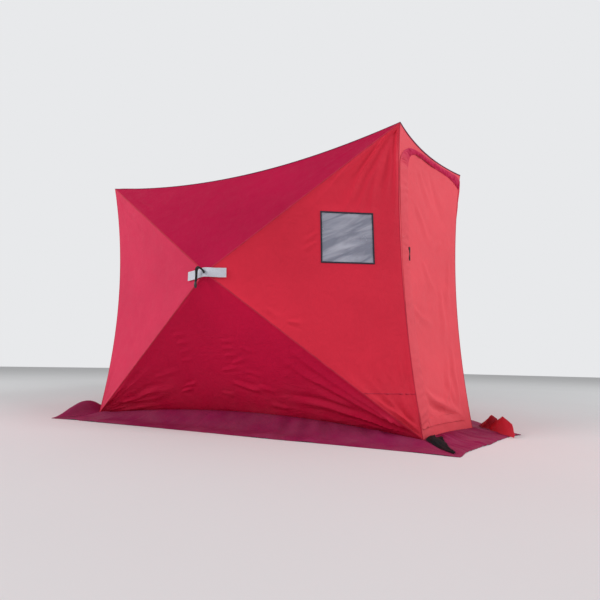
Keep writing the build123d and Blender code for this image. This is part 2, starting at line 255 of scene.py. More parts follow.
class Fan:
    """Triangle of cloth from a curved edge to a hub, with folds along its normal."""

    def __init__(self, edge, hub, origin, across, folds, up=None):
        self.edge, self.hub, self.origin, self.across, self.folds = edge, hub, origin, across, folds
        self.ends = edge(ENDS)
        self.chord = self.ends[1] - self.ends[0]
        self.width = norm(self.chord)
        out = np.cross(self.chord, self.ends[0] - hub)
        self.flip = 1 if out @ (self.ends.mean(0) - middle) > 0 else -1
        self.up = unit(np.cross(self.normal(np.array([0.5]))[0], across)) if up is None else up

    def normal(self, t):
        step = 1e-4
        tangent = self.edge(t + step) - self.edge(t - step)
        return self.flip * unit(np.cross(tangent, self.edge(t) - self.hub))

    def base(self, s, t):
        return self.hub + (self.edge(t) - self.hub) * s[..., None]

    def flat(self, p):
        """Metres along the wall and up its slope, for folds and the weave."""
        rel = p - self.origin
        return paired(rel @ self.across, rel @ self.up)

    def fade(self, s, t):
        """0 on the seams and at the hub, 1 from a short way inside."""
        reach = norm(self.edge(t) - self.hub, axis=-1)
        sine = norm(np.cross(unit(self.chord), unit(self.edge(t) - self.hub)), axis=-1)
        gap = np.minimum(s * self.width * np.minimum(t, 1 - t) * sine, (1 - s) * reach * sine)
        return smooth(gap / FOLD_FADE) * smooth((s * reach - HUB_CALM) / HUB_FADE)

    def surface(self, s, t, lift=0.0):
        rise = self.folds(self.flat(self.base(s, t))) * self.fade(s, t) + lift
        return self.raised(s, t, rise)

    def raised(self, s, t, rise):
        return self.base(s, t) + self.normal(t) * np.asarray(rise)[..., None]

    def locate(self, q):
        """Shares s and t of points given in metres along the wall and up its slope."""
        hub = self.flat(self.hub)
        low, high = np.zeros(q.shape[:-1]), np.ones(q.shape[:-1])
        ray = q - hub

        def turn(t):
            e = self.flat(self.edge(t)) - hub
            return e[..., 0] * ray[..., 1] - e[..., 1] * ray[..., 0]

        first, half = self.flat(self.edge(np.array([0.0, 0.5]))) - hub
        sense = np.sign(first[0] * half[1] - first[1] * half[0])
        for _ in range(40):
            mid = (low + high) / 2
            same = turn(mid) * sense > 0
            low, high = np.where(same, mid, low), np.where(same, high, mid)
        reach = norm(self.flat(self.edge(low)) - hub, axis=-1)
        return norm(ray, axis=-1) / reach, low

    def beside(self, side, k, w, lift=0.0):
        """Points at shares k along one border, a distance w inside it."""
        if side == "edge":
            e = self.edge(k)
            sine = norm(np.cross(unit(self.edge(k + 1e-3) - e), unit(e - self.hub)), axis=-1)
            reach = norm(e - self.hub, axis=-1) * sine
            return self.surface(1 - w / reach, k, lift)
        corner, half_way = self.edge(np.array([0.0 if side == "start" else 1.0, 0.5]))
        sine = norm(np.cross(unit(half_way - corner), unit(corner - self.hub)))
        s = PANEL_TIP + (1 - PANEL_TIP) * k
        t = np.clip(w / np.maximum(s * self.width * sine, 1e-3), 0, 0.5)
        return self.surface(s, t if side == "start" else 1 - t, lift)


# Folds: each is a ridge or valley from one point to another, in metres
def crease(q, x0, z0, x1, z1, width, height, bend, seed):
    along = np.array([x1 - x0, z1 - z0])
    length = np.hypot(*along)
    along = along / length
    rel = q - np.array([x0, z0])
    share = rel @ along / length
    off = rel @ np.array([-along[1], along[0]]) + bend * length * 4 * share * (1 - share)
    off = off + width * 0.7 * noise(share * length / 0.11, share * 0, seed + 0.37)
    spread = width * (0.65 + 0.7 * np.clip(share, 0, 1))
    ends = smooth(share / 0.18) * smooth((1 - share) / 0.4)
    crest = np.exp(-(np.abs(off) / spread) ** 1.35)
    trough = np.exp(-(((np.abs(off) - 2.1 * spread) / spread) ** 2))
    return height * ends * (crest - 0.4 * trough)


def fan_folds(q, x0, z0, reach, height, count, seed):
    """Tension folds that spread out from a corner."""
    dx, dz = q[..., 0] - x0, q[..., 1] - z0
    r, angle = np.hypot(dx, dz), np.arctan2(dz, np.abs(dx))
    lanes = noise(angle * count + 0.5 * noise(r / 0.3, angle * 4, seed), r / 0.55, seed + 3)
    ridges = 0.55 - 1.3 * np.abs(lanes) ** 0.8
    return height * ridges * smooth(r / 0.10) * smooth((reach - r) / (0.75 * reach))


# Mesh building
def grid_faces(rows, cols, wrap=False):
    i, j = np.meshgrid(np.arange(rows - 1), np.arange(cols if wrap else cols - 1), indexing="ij")
    a, b = i * cols + j, i * cols + (j + 1) % cols
    return np.stack([a, b, b + cols, a + cols], -1).reshape(-1, 4)


def vertex_normals(points, faces):
    p = points[faces]
    n = np.cross(p[:, 2] - p[:, 0], p[:, 3] - p[:, 1])
    out = np.zeros_like(points)
    for k in range(4):
        np.add.at(out, faces[:, k], n)
    return out / np.maximum(norm(out, axis=1, keepdims=True), 1e-12)


def shell(points, faces, thickness=CLOTH, normals=None):
    """Closed thin sheet under a grid: outer face, lining and rim."""
    own = vertex_normals(points, faces)
    normals = own if normals is None else normals * np.sign(np.sum(normals * own))
    n = len(points)
    edges = np.concatenate([faces[:, [k, (k + 1) % 4]] for k in range(4)])
    _, first, count = np.unique(np.sort(edges, 1) @ [n, 1], return_index=True, return_counts=True)
    a, b = edges[first[count == 1]].T
    rim = np.stack([b, a, a + n, b + n], 1)
    kinds = np.repeat([0, 1, 0], [len(faces), len(faces), len(rim)])
    faces = np.concatenate([faces, faces[:, ::-1] + n, rim])
    return np.concatenate([points, points - normals * thickness]), faces, kinds


def outfacing(points, faces):
    away = np.sum(vertex_normals(points, faces) * (points - middle)) > 0
    return faces if away else faces[:, ::-1]


def upfacing(points, faces):
    return faces if vertex_normals(points, faces)[:, 2].sum() > 0 else faces[:, ::-1]


def linked(name, data):
    obj = bpy.data.objects.new(name, data)
    bpy.context.scene.collection.objects.link(obj)
    return obj


def make(name, points, faces, mats, uv, kinds=None, body="shelter"):
    if isinstance(faces, np.ndarray):
        # Outer and inner faces of a sheet split along the same diagonal, so they never cross
        inner = np.zeros(len(faces), bool) if kinds is None else kinds == 1
        first = np.where(inner[:, None], faces[:, [0, 1, 3]], faces[:, [0, 1, 2]])
        second = np.where(inner[:, None], faces[:, [1, 2, 3]], faces[:, [0, 2, 3]])
        faces = np.concatenate([first, second])
        kinds = None if kinds is None else np.concatenate([kinds, kinds])
    mesh = bpy.data.meshes.new(name)
    mesh.from_pydata(points.tolist(), [], faces if isinstance(faces, list) else faces.tolist())
    for mat in mats:
        mesh.materials.append(mat)
    mesh.polygons.foreach_set("use_smooth", [True] * len(mesh.polygons))
    if kinds is not None:
        mesh.polygons.foreach_set("material_index", kinds)
    loops = np.zeros(len(mesh.loops), int)
    mesh.loops.foreach_get("vertex_index", loops)
    mesh.uv_layers.new(name="UVMap").data.foreach_set("uv", uv[loops].ravel())
    mesh.set_sharp_from_angle(angle=SHARP_ANGLE)
    mesh.update()
    obj = linked(name, mesh)
    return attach(obj, body)


def cloth_piece(
    name, grid, uv, mats, body="shelter", thickness=CLOTH, normals=None, wrap=False, facing=outfacing
):
    """Closed thin cloth under a grid of points, and its outer side as points, faces and UV."""
    points, uv = grid.reshape(-1, 3), uv.reshape(-1, 2)
    faces = facing(points, grid_faces(*grid.shape[:2], wrap))
    normals = normals if normals is None else normals.reshape(-1, 3)
    verts, all_faces, kinds = shell(points, faces, thickness, normals)
    obj = make(name, verts, all_faces, mats, np.concatenate([uv, uv]), kinds, body)
    return obj, (points, faces, uv)


def area_of(points, faces):
    p = points[faces]
    return float(norm(np.cross(p[:, 2] - p[:, 0], p[:, 3] - p[:, 1]), axis=1).sum() / 2)


def declare(obj, points, faces, uv, held, rests_on, with_pieces=()):
    """Works out the size and area of a sheet's flat cut; it declares nothing."""
    size = np.ptp(uv, axis=0)
    area = np.clip(area_of(points, faces), MIN_AREA_SHARE * size[0] * size[1], size[0] * size[1])
    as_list(rests_on)
    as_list(with_pieces)


def band(rows, along, wrap=False):
    """Points, faces and UV of a band from its rows; UV is metres along and -1 to 1 across."""
    n, count = len(rows), len(along)
    points = np.stack(rows).reshape(-1, 3)
    uv = paired(along, np.linspace(-1, 1, n)[:, None])
    return points, outfacing(points, grid_faces(n, count, wrap)), uv.reshape(-1, 2)


def joined(parts):
    """One set of points, faces and UV from several."""
    points, faces, uvs = zip(*parts)
    before = np.cumsum([0, *map(len, points)])
    return np.concatenate(points), np.concatenate([f + n for f, n in zip(faces, before)]), np.concatenate(uvs)


# Materials
def linear(rgb):
    return tuple((c / 255 / 12.92 if c <= 10.3 else ((c / 255 + 0.055) / 1.055) ** 2.4) for c in rgb)


def toned(colour, by, plus=0.0):
    return tuple(min(1, c * by + plus) for c in colour)


def add_node(tree, kind, inputs=(), **settings):
    """New node; an input is a fixed value, another node's socket or None, which leaves it alone."""
    node = tree.nodes.new("ShaderNode" + kind)
    for key, value in settings.items():
        setattr(node, key, value)
    for key, value in dict(inputs).items():
        if isinstance(value, bpy.types.NodeSocket):
            tree.links.new(value, node.inputs[key])
        elif value is not None:
            node.inputs[key].default_value = value
    return node


class Nodes:
    """Node tree of a new material, with short names for the nodes that are used often."""

    def __init__(self, name):
        self.mat = bpy.data.materials.new(name)
        self.mat.use_nodes = True
        self.tree = self.mat.node_tree
        self.tree.nodes.clear()
        self.uv = self.add("TexCoord").outputs["UV"]
        self.place = self.add("TexCoord").outputs["Object"]

    def add(self, kind, inputs=(), **settings):
        return add_node(self.tree, kind, inputs, **settings)

    def maths(self, operation, a, b=0.0):
        return self.add("Math", {0: a, 1: b}, operation=operation).outputs[0]

    def times(self, a, b):
        return self.maths("MULTIPLY", a, b)

    def part(self, vector, axis):
        return self.add("SeparateXYZ", {0: vector}).outputs[axis]

    def noise(self, scale, detail, vector=None, distortion=0.0):
        inputs = {"Vector": self.place if vector is None else vector, "Scale": scale, "Detail": detail}
        return self.add("TexNoise", {**inputs, "Distortion": distortion, "Roughness": 0.55}).outputs["Fac"]

    def ramp(self, value, low, high, out_low=0.0, out_high=1.0):
        inputs = {"Value": value, "From Min": low, "From Max": high, "To Min": out_low, "To Max": out_high}
        return self.add("MapRange", inputs).outputs["Result"]

    def stripes(self, period, axis="X"):
        inputs = {"Scale": 0.1 * math.pi / period, "Vector": self.uv}
        return self.add("TexWave", inputs, bands_direction=axis).outputs["Fac"]

    def blend(self, share, a, b):
        a, b = ((*value, 1) if isinstance(value, tuple) else value for value in (a, b))
        return self.add("Mix", {0: share, 6: a, 7: b}, data_type="RGBA", blend_type="MIX").outputs[2]

    def bump(self, height, distance, strength, normal=None):
        inputs = {"Height": height, "Distance": distance, "Strength": strength, "Normal": normal}
        return self.add("Bump", inputs).outputs["Normal"]

    def finish(self, colour, roughness, normal=None, **fixed):
        inputs = {"Base Color": colour, "Roughness": roughness, "Normal": normal, **fixed}
        self.add("OutputMaterial", {"Surface": self.add("BsdfPrincipled", inputs).outputs[0]})
        return self.mat


def fabric(name, rgb, rough=0.68, sheen=0.015, worn=0.08, dusty=0.0, wrinkled=0.0, shaded_head=None):
    """Coated woven cloth: thread bump, soft creases, uneven colour and dust near the ground, and if asked a
    darker top band that is painted shade.
    """
    n, base = Nodes(name), linear(rgb)
    patch = n.ramp(n.noise(2.3, 4), 0.3, 0.7)
    fine = n.ramp(n.noise(31, 5, distortion=0.8), 0.35, 0.7)
    colour = n.blend(patch, toned(base, 1 - worn), toned(base, 1 + worn))
    colour = n.blend(n.times(fine, 0.14), colour, toned(base, 1.2))
    threads = n.times(n.stripes(WEAVE), n.stripes(WEAVE, "Y"))
    colour = n.blend(n.times(threads, 0.10), colour, toned(base, 0.6))
    height = n.part(n.place, "Z")
    low = n.times(n.ramp(height, 0.32, 0.0), n.ramp(n.noise(9, 6), 0.35, 0.75))
    colour = n.blend(n.times(low, dusty), colour, linear((196, 176, 180)))
    # Darker purple band at the top: painted shade under the eave.
    if shaded_head:
        upper = n.ramp(n.maths("ADD", height, n.times(n.noise(7, 2), 0.05)), 1.33, 1.46)
        colour = n.blend(upper, colour, linear(shaded_head))
    roughness = n.ramp(n.noise(14, 4), 0.3, 0.7, rough - 0.09, rough + 0.08)
    normal = n.bump(n.noise(15, 5, distortion=1.6), 0.008, 0.35)
    if wrinkled:
        drawn = n.add("Mapping", {"Vector": n.uv, "Rotation": (0, 0, 0.12), "Scale": (9, 34, 1)})
        short = n.ramp(n.noise(1.0, 3, vector=drawn.outputs[0], distortion=0.9), 0.48, 0.72)
        where = n.times(n.ramp(n.noise(3.1, 2), 0.42, 0.6), n.ramp(n.part(n.uv, "Y"), 0.55, 0.2))
        normal = n.bump(n.times(short, where), 0.007, wrinkled, normal)
    normal = n.bump(n.noise(62, 3, distortion=0.5), 0.0012, 0.45, normal)
    normal = n.bump(threads, 0.0003, 0.55, normal)
    return n.finish(colour, roughness, normal, **{
        "Sheen Weight": sheen, "Sheen Roughness": 0.45, "Sheen Tint": (*base, 1),
        "Specular IOR Level": 0.16, "Specular Tint": (*(0.3 + 0.7 * c for c in base), 1)})


def stitched(name, rgb, rows=(0.7,), period=0.005, rough=0.65, thread_rgb=None, weave=0.0014):
    """Tape or binding: woven, with rows of stitches along it. UV is metres along and -1 to 1 across."""
    n, base = Nodes(name), linear(rgb)
    along, across = n.part(n.uv, "X"), n.part(n.uv, "Y")
    dashes = n.maths("GREATER_THAN", n.maths("SINE", n.times(along, 2 * math.pi / period)), -0.35)
    on_row = None
    for row in rows:
        gap = n.maths("ABSOLUTE", n.maths("SUBTRACT", n.maths("ABSOLUTE", across), row))
        near = n.ramp(gap, 0.10, 0.04)
        on_row = near if on_row is None else n.maths("MAXIMUM", on_row, near)
    stitch = n.times(dashes, on_row)
    ribs = n.maths("SINE", n.times(along, 2 * math.pi / weave))
    worn = n.ramp(n.noise(22, 5), 0.35, 0.7)
    colour = n.blend(worn, toned(base, 0.86), toned(base, 1.12, 0.004))
    thread = linear(thread_rgb or tuple(min(255, c * 0.75 + 18) for c in rgb))
    colour = n.blend(n.times(stitch, 0.8), colour, thread)
    normal = n.bump(n.noise(70, 3), 0.0006, 0.3)
    normal = n.bump(ribs, 0.00008, 0.5, normal)
    normal = n.bump(stitch, 0.00015, 0.7, normal)
    roughness = n.ramp(worn, 0, 1, rough - 0.07, rough + 0.07)
    return n.finish(colour, roughness, normal, **{"Sheen Weight": 0.02, "Specular IOR Level": 0.25})


def moulded(name, rgb, rough=0.42, grain=900.0, metallic=0.0):
    """Moulded or drawn hard surface: fine grain, handling marks and worn edges."""
    n, base = Nodes(name), linear(rgb)
    marks = n.ramp(n.noise(60, 5, distortion=0.6), 0.4, 0.75)
    edge = n.ramp(n.add("NewGeometry").outputs["Pointiness"], 0.52, 0.62)
    colour = n.blend(marks, base, toned(base, 1.5, 0.01))
    colour = n.blend(n.times(edge, 0.35), colour, toned(base, 2, 0.05))
    normal = n.bump(n.noise(grain, 2), 0.0002, 0.5)
    normal = n.bump(n.noise(45, 4), 0.0006, 0.3, normal)
    return n.finish(colour, n.ramp(marks, 0, 1, rough, rough + 0.15), normal, Metallic=metallic)


# One red cloth in lit and shaded copies: wall_red is its red, raised a little as painted glow through the
# cloth; the lower, upper and roof reds are darker with painted shade; the side red is lighter and pinker with
# painted skylight.
wall_red = fabric("wall_red", (220, 48, 70), dusty=0.05)
lower_shaded_red = fabric("lower_shaded_red", (202, 22, 66), dusty=0.05, wrinkled=0.55)
upper_shaded_red = fabric("upper_shaded_red", (184, 14, 66))
side_lit_red = fabric("side_lit_red", (220, 58, 92), dusty=0.05)
roof_red = fabric("roof_red", (176, 14, 66))
# Door wall, door, hem and flap: lighter, pinker copies of the red, with painted glow of light through the
# cloth; the flap's purple top is painted shade under the eave.
door_lit_red = fabric("door_lit_red", (240, 88, 100), rough=0.6, dusty=0.04)
flap_lit_red = fabric("flap_lit_red", (234, 88, 100), shaded_head=(206, 42, 88))
# Lit and shaded copies of the skirt cloth: the flat skirt's purple is painted shade, the folds' lighter red
# painted sunlight.
shaded_skirt_purple = fabric("shaded_skirt_purple", (146, 33, 82), rough=0.55, worn=0.12, dusty=0.08)
fold_lit_red = fabric("fold_lit_red", (206, 54, 72), rough=0.55, worn=0.10, dusty=0.06)
lining = fabric("dark_lining", (30, 32, 34), rough=0.7, sheen=0.05)
seam_red = stitched("seam_red", (196, 30, 62), thread_rgb=(190, 36, 66))
eave_binding = stitched("eave_binding", (104, 26, 66), rows=(0.5,), rough=0.6)
black_binding = stitched("black_binding", (40, 42, 56), rows=(0.55,), thread_rgb=(58, 58, 62))
black_webbing = stitched(
    "black_webbing", (20, 20, 22), rows=(0.72, 0.2), thread_rgb=(46, 46, 50), weave=0.0022)
zip_red = stitched("zip_red", (176, 44, 60), rows=(0.4,), period=0.0024, thread_rgb=(120, 34, 48))
black_plastic = moulded("black_plastic", (24, 25, 27))
fibreglass = moulded("fibreglass", (46, 48, 50), rough=0.3, grain=300.0)
zip_metal = moulded("zip_metal", (38, 38, 40), rough=0.28, metallic=0.8)


def reflective():
    """Retro-reflective tape: a fine lattice of cells in light grey with a sewn rim."""
    n = Nodes("reflective_tape")
    cells = n.add("TexVoronoi", {"Vector": n.uv, "Scale": 260.0}, feature="DISTANCE_TO_EDGE")
    web = n.ramp(cells.outputs[0], 0.02, 0.12)
    scuffs = n.ramp(n.noise(40, 6, distortion=1), 0.4, 0.75)
    colour = n.blend(web, linear((198, 201, 212)), linear((214, 217, 228)))
    colour = n.blend(n.times(scuffs, 0.18), colour, linear((168, 166, 178)))
    normal = n.bump(web, 0.0003, 0.6)
    normal = n.bump(n.noise(25, 3), 0.003, 0.3, normal)
    return n.finish(colour, n.ramp(scuffs, 0, 1, 0.4, 0.55), normal, Metallic=0.08)


def film():
    """Window film, partly milky, with streaky wrinkles; its pale grey-blue colour and its light streaks are
    painted sky reflection.
    """
    n = Nodes("window_film")
    askew = n.add("Mapping", {"Vector": n.uv, "Rotation": (0, 0, math.radians(24))})
    turned = n.add("Mapping", {"Vector": askew.outputs[0], "Scale": (2.6, 13, 1)})
    streaks = n.noise(1.6, 4, vector=turned.outputs[0], distortion=0.6)
    bands = n.ramp(streaks, 0.42, 0.66)
    # Pale grey-blue and light streaks: painted sky reflection.
    colour = n.blend(bands, linear((154, 157, 176)), linear((224, 225, 240)))
    fog = n.ramp(n.noise(9, 5), 0.3, 0.7)
    colour = n.blend(n.times(fog, 0.3), colour, linear((188, 190, 206)))
    normal = n.bump(streaks, 0.004, 0.5)
    normal = n.bump(n.noise(30, 3), 0.0015, 0.4, normal)
    fixed = {"Transmission Weight": 0.35, "IOR": 1.45, "Specular IOR Level": 0.6}
    return n.finish(colour, n.ramp(fog, 0, 1, 0.12, 0.3), normal, **fixed)


reflective_tape = reflective()
window_film = film()

# Folds of a hub wall: from and to (metres from the window's corner, and height), width, height and bend
FOLD_GROUPS = {
    "lower": [
        (1.796, 0.028, 1.37, 0.15, 0.016, -0.01, -0.025), (1.734, 0.05, 1.203, 0.189, 0.013, 0.011, 0.003),
        (1.583, 0.071, 1.263, 0.152, 0.01, 0.007, -0.016), (1.224, 0.156, 1.13, 0.179, 0.007, 0.005, 0),
        (1.191, 0.184, 1.1, 0.204, 0.007, 0.005, 0), (1.744, 0.043, 1.466, 0.202, 0.01, 0.006, 0.055),
        (1.364, 0.221, 1.17, 0.274, 0.01, 0.003, 0), (0.978, 0.162, 0.879, 0.144, 0.008, 0.004, 0),
        (0.909, 0.22, 0.682, 0.166, 0.01, 0.006, -0.021), (0.76, 0.201, 0.641, 0.163, 0.009, 0.005, 0),
        (0.005, 0.014, 0.663, 0.367, 0.014, 0.012, 0.014), (0.013, 0.018, 0.584, 0.403, 0.011, 0.01, 0.021),
        (0.009, 0.01, 0.65, 0.333, 0.01, -0.007, 0.021), (0.052, 0.023, 0.745, 0.173, 0.012, -0.008, -0.052),
        (0.092, 0.024, 0.574, 0.137, 0.009, 0.007, -0.04), (0.606, 0.087, 0.72, 0.115, 0.009, 0.005, 0),
        (0.743, 0.173, 0.906, 0.21, 0.01, 0.005, 0), (1.166, 0.446, 1.081, 0.449, 0.008, 0.004, 0),
        (1.163, 0.406, 1.083, 0.415, 0.008, 0.004, 0), (1.16, 0.366, 1.086, 0.376, 0.008, 0.003, 0),
        (1.171, 0.32, 1.084, 0.331, 0.008, 0.003, 0), (0.916, 0.419, 0.83, 0.414, 0.008, 0.004, 0),
        (0.918, 0.381, 0.837, 0.379, 0.008, 0.004, 0), (0.913, 0.348, 0.83, 0.353, 0.008, 0.004, 0),
        (0.882, 0.309, 0.78, 0.334, 0.008, 0.004, 0), (0.951, 0.269, 0.829, 0.301, 0.009, 0.004, 0),
        (0.812, 0.395, 0.735, 0.358, 0.008, 0.004, 0), (0.812, 0.272, 0.701, 0.246, 0.009, 0.004, 0),
    ],
    "upper": [
        (1.585, 1.325, 1.412, 1.212, 0.012, -0.005, 0),
    ],
    "window": [
        (0.006, 1.487, 0.341, 1.163, 0.012, 0.007, -0.007), (0.002, 1.487, 0.05, 1.028, 0.01, 0.006, 0.009),
        (0.007, 1.476, 0.088, 1.078, 0.01, 0.005, -0.027), (0.403, 0.939, 0.472, 0.879, 0.009, 0.004, 0),
        (0.413, 0.889, 0.482, 0.83, 0.009, 0.004, 0), (0.554, 0.497, 0.476, 0.488, 0.009, 0.005, 0),
        (0.636, 0.567, 0.575, 0.504, 0.012, 0.004, 0), (-0.003, 0.023, 0.093, 0.296, 0.009, 0.006, 0.076),
        (0.001, 0.023, 0.151, 0.295, 0.009, 0.006, 0.145), (-0.003, 0.019, 0.249, 0.191, 0.01, 0.006, -0.017),
        (0.033, 0.246, 0.032, 0.437, 0.008, 0.004, 0), (0.071, 0.241, 0.07, 0.383, 0.008, 0.004, 0),
        (0.117, 0.236, 0.115, 0.348, 0.008, 0.004, 0), (0.163, 0.235, 0.158, 0.321, 0.008, 0.003, 0),
    ],
    "plain": [
        (1.812, 1.472, 1.419, 1.076, 0.01, 0.006, 0.086), (1.796, 1.451, 1.383, 1.029, 0.01, 0.005, -0.038),
        (1.665, 1.339, 1.18, 0.82, 0.01, 0.004, 0.06),
    ],
}

# Folds that fan out from a panel's corners: place, reach, height and folds to a radian
CORNER_FANS = {
    "lower": [(0.0, 0.0, 0.85, 0.0055, 15), (1.8, 0.0, 0.70, 0.0050, 15)],
    "upper": [(0.0, 1.54, 0.65, 0.0030, 10), (1.84, 1.54, 0.65, 0.0030, 10)],
    "window": [(0.0, 1.54, 0.85, 0.013, 7.5), (-0.02, 0.0, 0.60, 0.0060, 8)],
    "plain": [(1.84, 1.53, 0.85, 0.0060, 8), (1.82, 0.0, 0.50, 0.0045, 8)],
}


def wall_folds(seed, group, wider):
    """Folds of one panel; the walls that repeat it get the same ones, drawn a little apart."""
    shift = 0.0 if wider == 1.0 else 0.02

    def folds(q):
        x, z = q[..., 0], q[..., 1]
        rise = 0.0035 * noise(x / 0.35 + seed, z / 0.30, seed) + 0.0014 * noise(x / 0.09, z / 0.12, seed + 5)
        moved = q + shift * np.stack([noise(x / 0.5, z / 0.5, seed + i) for i in (1, 2)], -1)
        for i, spread in enumerate(CORNER_FANS[group]):
            rise = rise + fan_folds(moved, *spread, seed + 50 + i)
        for i, (*line, width, height, bend) in enumerate(FOLD_GROUPS[group]):
            rise = rise + crease(moved, *line, width * wider, height * FOLD_STRENGTH, bend, seed + i)
        return rise
    return folds


def roof_folds(seed):
    def folds(q):
        x, z = q[..., 0], q[..., 1]
        wide, narrow = noise(x / 0.4 + seed, z / 0.35, seed), noise(x / 0.12, z / 0.15, seed + 5)
        return 0.004 * wide + 0.0018 * narrow
    return folds


# Hub walls
fans = {}
for i, (wall, (near, far)) in enumerate(hub_walls.items()):
    hub, facing = wall_hub(wall)
    across = unit((bottom[far] - bottom[near]) * (1, 1, 0))
    edges = {
        "lower": level_edge(bottom, near, far),
        "upper": level_edge(top, near, far),
        "window": upright(near),
        "plain": upright(far),
    }
    for place, edge in edges.items():
        folds = wall_folds(11 * i + len(place), place, 1.0 if wall == "front_left" else 1.5)
        fans[f"{wall}_{place}"] = Fan(edge, hub, bottom[near], across, folds, UP)
for i, (place, names) in enumerate(sides.items()):
    across = unit((top[names[1]] - top[names[0]]) * (1, 1, 0))
    fans[f"roof_{place}"] = Fan(level_edge(top, *names), roof_hub, top[names[0]], across, roof_folds(70 + i))


def fan_grid(fan, rows, cols):
    s, t = crossed(np.linspace(PANEL_TIP, 1, rows), shares(cols))
    return fan.surface(s, t), fan.flat(fan.base(s, t)), fan.normal(t)


def window_place(fan):
    """Centre of the window in the panel's own metres, as in the part's source."""
    ends = fan.ends
    rise = (WINDOW_CENTRE_HEIGHT - ends[0][2]) / (ends[1][2] - ends[0][2])
    normal = fan.flip * unit(np.cross(fan.chord, fan.hub - ends[0]))
    level = unit(np.cross(UP, normal))
    if level @ (fan.hub - ends[0]) < 0:
        level = -level
    up = np.cross(normal, level)
    up = up if up[2] > 0 else -up
    return mix(ends[0], ends[1], rise) + level * WINDOW_FROM_CORNER, level, up


def opening(place, angle, grow=0.0):
    """Points on the outline of a window that is grown by a distance, at angles round its centre."""
    centre, level, up = place
    wide, high = WINDOW_WIDTH / 2 + grow, WINDOW_HEIGHT / 2 + grow
    reach = 1 / np.maximum(np.abs(np.cos(angle)) / wide, np.abs(np.sin(angle)) / high)
    return centre + (np.cos(angle) * reach)[:, None] * level + (np.sin(angle) * reach)[:, None] * up


def window_grid(fan, count, rows):
    """Grid round the window: from its opening out to the panel's borders."""
    centre, level, up = place = window_place(fan)
    angle_of = lambda p: np.arctan2((p - centre) @ up, (p - centre) @ level)
    keys = list(angle_of(np.stack([fan.hub, *fan.ends])))
    tip = np.arctan2(WINDOW_HEIGHT, WINDOW_WIDTH)
    keys = np.sort(np.mod(keys + [tip, math.pi - tip, tip - math.pi, -tip], 2 * math.pi))
    border = fan_border(fan, 400)
    border_angle = np.unwrap(angle_of(border))
    if border_angle[-1] < border_angle[0]:
        border, border_angle = border[::-1], border_angle[::-1]
    spans = np.diff(np.append(keys, keys[0] + 2 * math.pi))
    angles = []
    for key, span in zip(keys, spans):
        n = max(2, int(round(count * span / (2 * math.pi))))
        angles.extend(key + span * np.arange(n) / n)
    angles = np.array(angles)
    wrapped = border_angle[0] + np.mod(angles - border_angle[0], 2 * math.pi)
    outer = np.stack([np.interp(wrapped, border_angle, border[:, k]) for k in range(3)], -1)
    inner = opening(place, angles)
    share = shares(rows)[:, None, None] ** 0.85
    spots = inner + (outer - inner) * share
    q = fan.flat(spots)
    s, t = fan.locate(q)
    s, t = np.minimum(s, 1), np.clip(t, 0, 1)
    wide, high = np.abs((spots - centre) @ level), np.abs((spots - centre) @ up)
    past = np.maximum(wide - WINDOW_WIDTH / 2, high - WINDOW_HEIGHT / 2)
    rise = fan.folds(q) * fan.fade(s, t) * smooth(past / 0.05)
    return fan.raised(s, t, rise), q, fan.normal(t)


def fan_border(fan, count):
    """Points round a panel: along its edge, in to the hub and back out."""
    k = shares(count)
    tip = fan.base(np.array([PANEL_TIP, PANEL_TIP]), ENDS)
    a, b = fan.ends
    inward = b + (tip[1] - b) * k[1:, None]
    along = tip[1] + (tip[0] - tip[1]) * k[1:, None]
    back = tip[0] + (a - tip[0]) * k[1:-1, None]
    return np.concatenate([fan.edge(k), inward, along, back])


# Colour and grid of each panel; the walls that the photograph doesn't show have a coarser grid
# Panel colours: lower and upper carry painted shade, the plain side painted light, the window panel the
# cloth's red.
cloth_colours = {"lower": lower_shaded_red, "upper": upper_shaded_red, "window": wall_red, "plain": side_lit_red}
SEEN_GRIDS = {"lower": (130, 230), "upper": (100, 150), "window": (330, 80), "plain": (100, 150)}
UNSEEN_GRIDS = {"lower": (50, 84), "upper": (50, 84), "window": (160, 36), "plain": (50, 84)}
ROOF_GRID = 46, 80
for name, fan in fans.items():
    wall, place = name.rsplit("_", 1)
    in_roof = wall.startswith("roof")
    size = ROOF_GRID if in_roof else (SEEN_GRIDS if wall == "front_left" else UNSEEN_GRIDS)[place]
    round_window = place == "window"
    grid, uv, normals = (window_grid if round_window else fan_grid)(fan, *size)
    mats = (roof_red if in_roof else cloth_colours[place], lining)
    obj, cut = cloth_piece(f"{name}_cloth", grid, uv, mats, normals=normals, wrap=round_window)
    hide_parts(f"{name}_panel")
    declare(obj, *cut, "stretched", "roof_poles" if in_roof else "wall_poles")


# Door wall, by x and height in the front elevation
door_edge = upright("door_left")
edge_low, edge_high = door_edge(ENDS)
edge_rise = edge_high[2] - edge_low[2]


def door_wall(x, z):
    """Point of the plain door wall at x and height z."""
    v = (z - edge_low[2]) / edge_rise
    for _ in range(6):
        v = v - (door_edge(v)[..., 2] - z) / edge_rise
    left = door_edge(v)
    u = (x - left[..., 0]) / (-2 * left[..., 0])
    depth = WALL_EDGE_SAG * -2 * left[..., 0] * 4 * u * (1 - u)
    return np.stack([x, left[..., 1] + depth, z], -1)


def door_wall_normal(x, z):
    step = 2e-3
    a = door_wall(x + step, z) - door_wall(x - step, z)
    b = door_wall(x, z + step) - door_wall(x, z - step)
    return unit(np.cross(a, b))


def wall_half(z):
    v = (z - edge_low[2]) / edge_rise
    return -door_edge(v)[..., 0]


def straight_half(z):
    rise = (z - EDGE_HEIGHT) / (EAVE_HEIGHT - EDGE_HEIGHT)
    return half_door + rise * (DOOR_WALL_TOP_WIDTH / 2 - half_door)


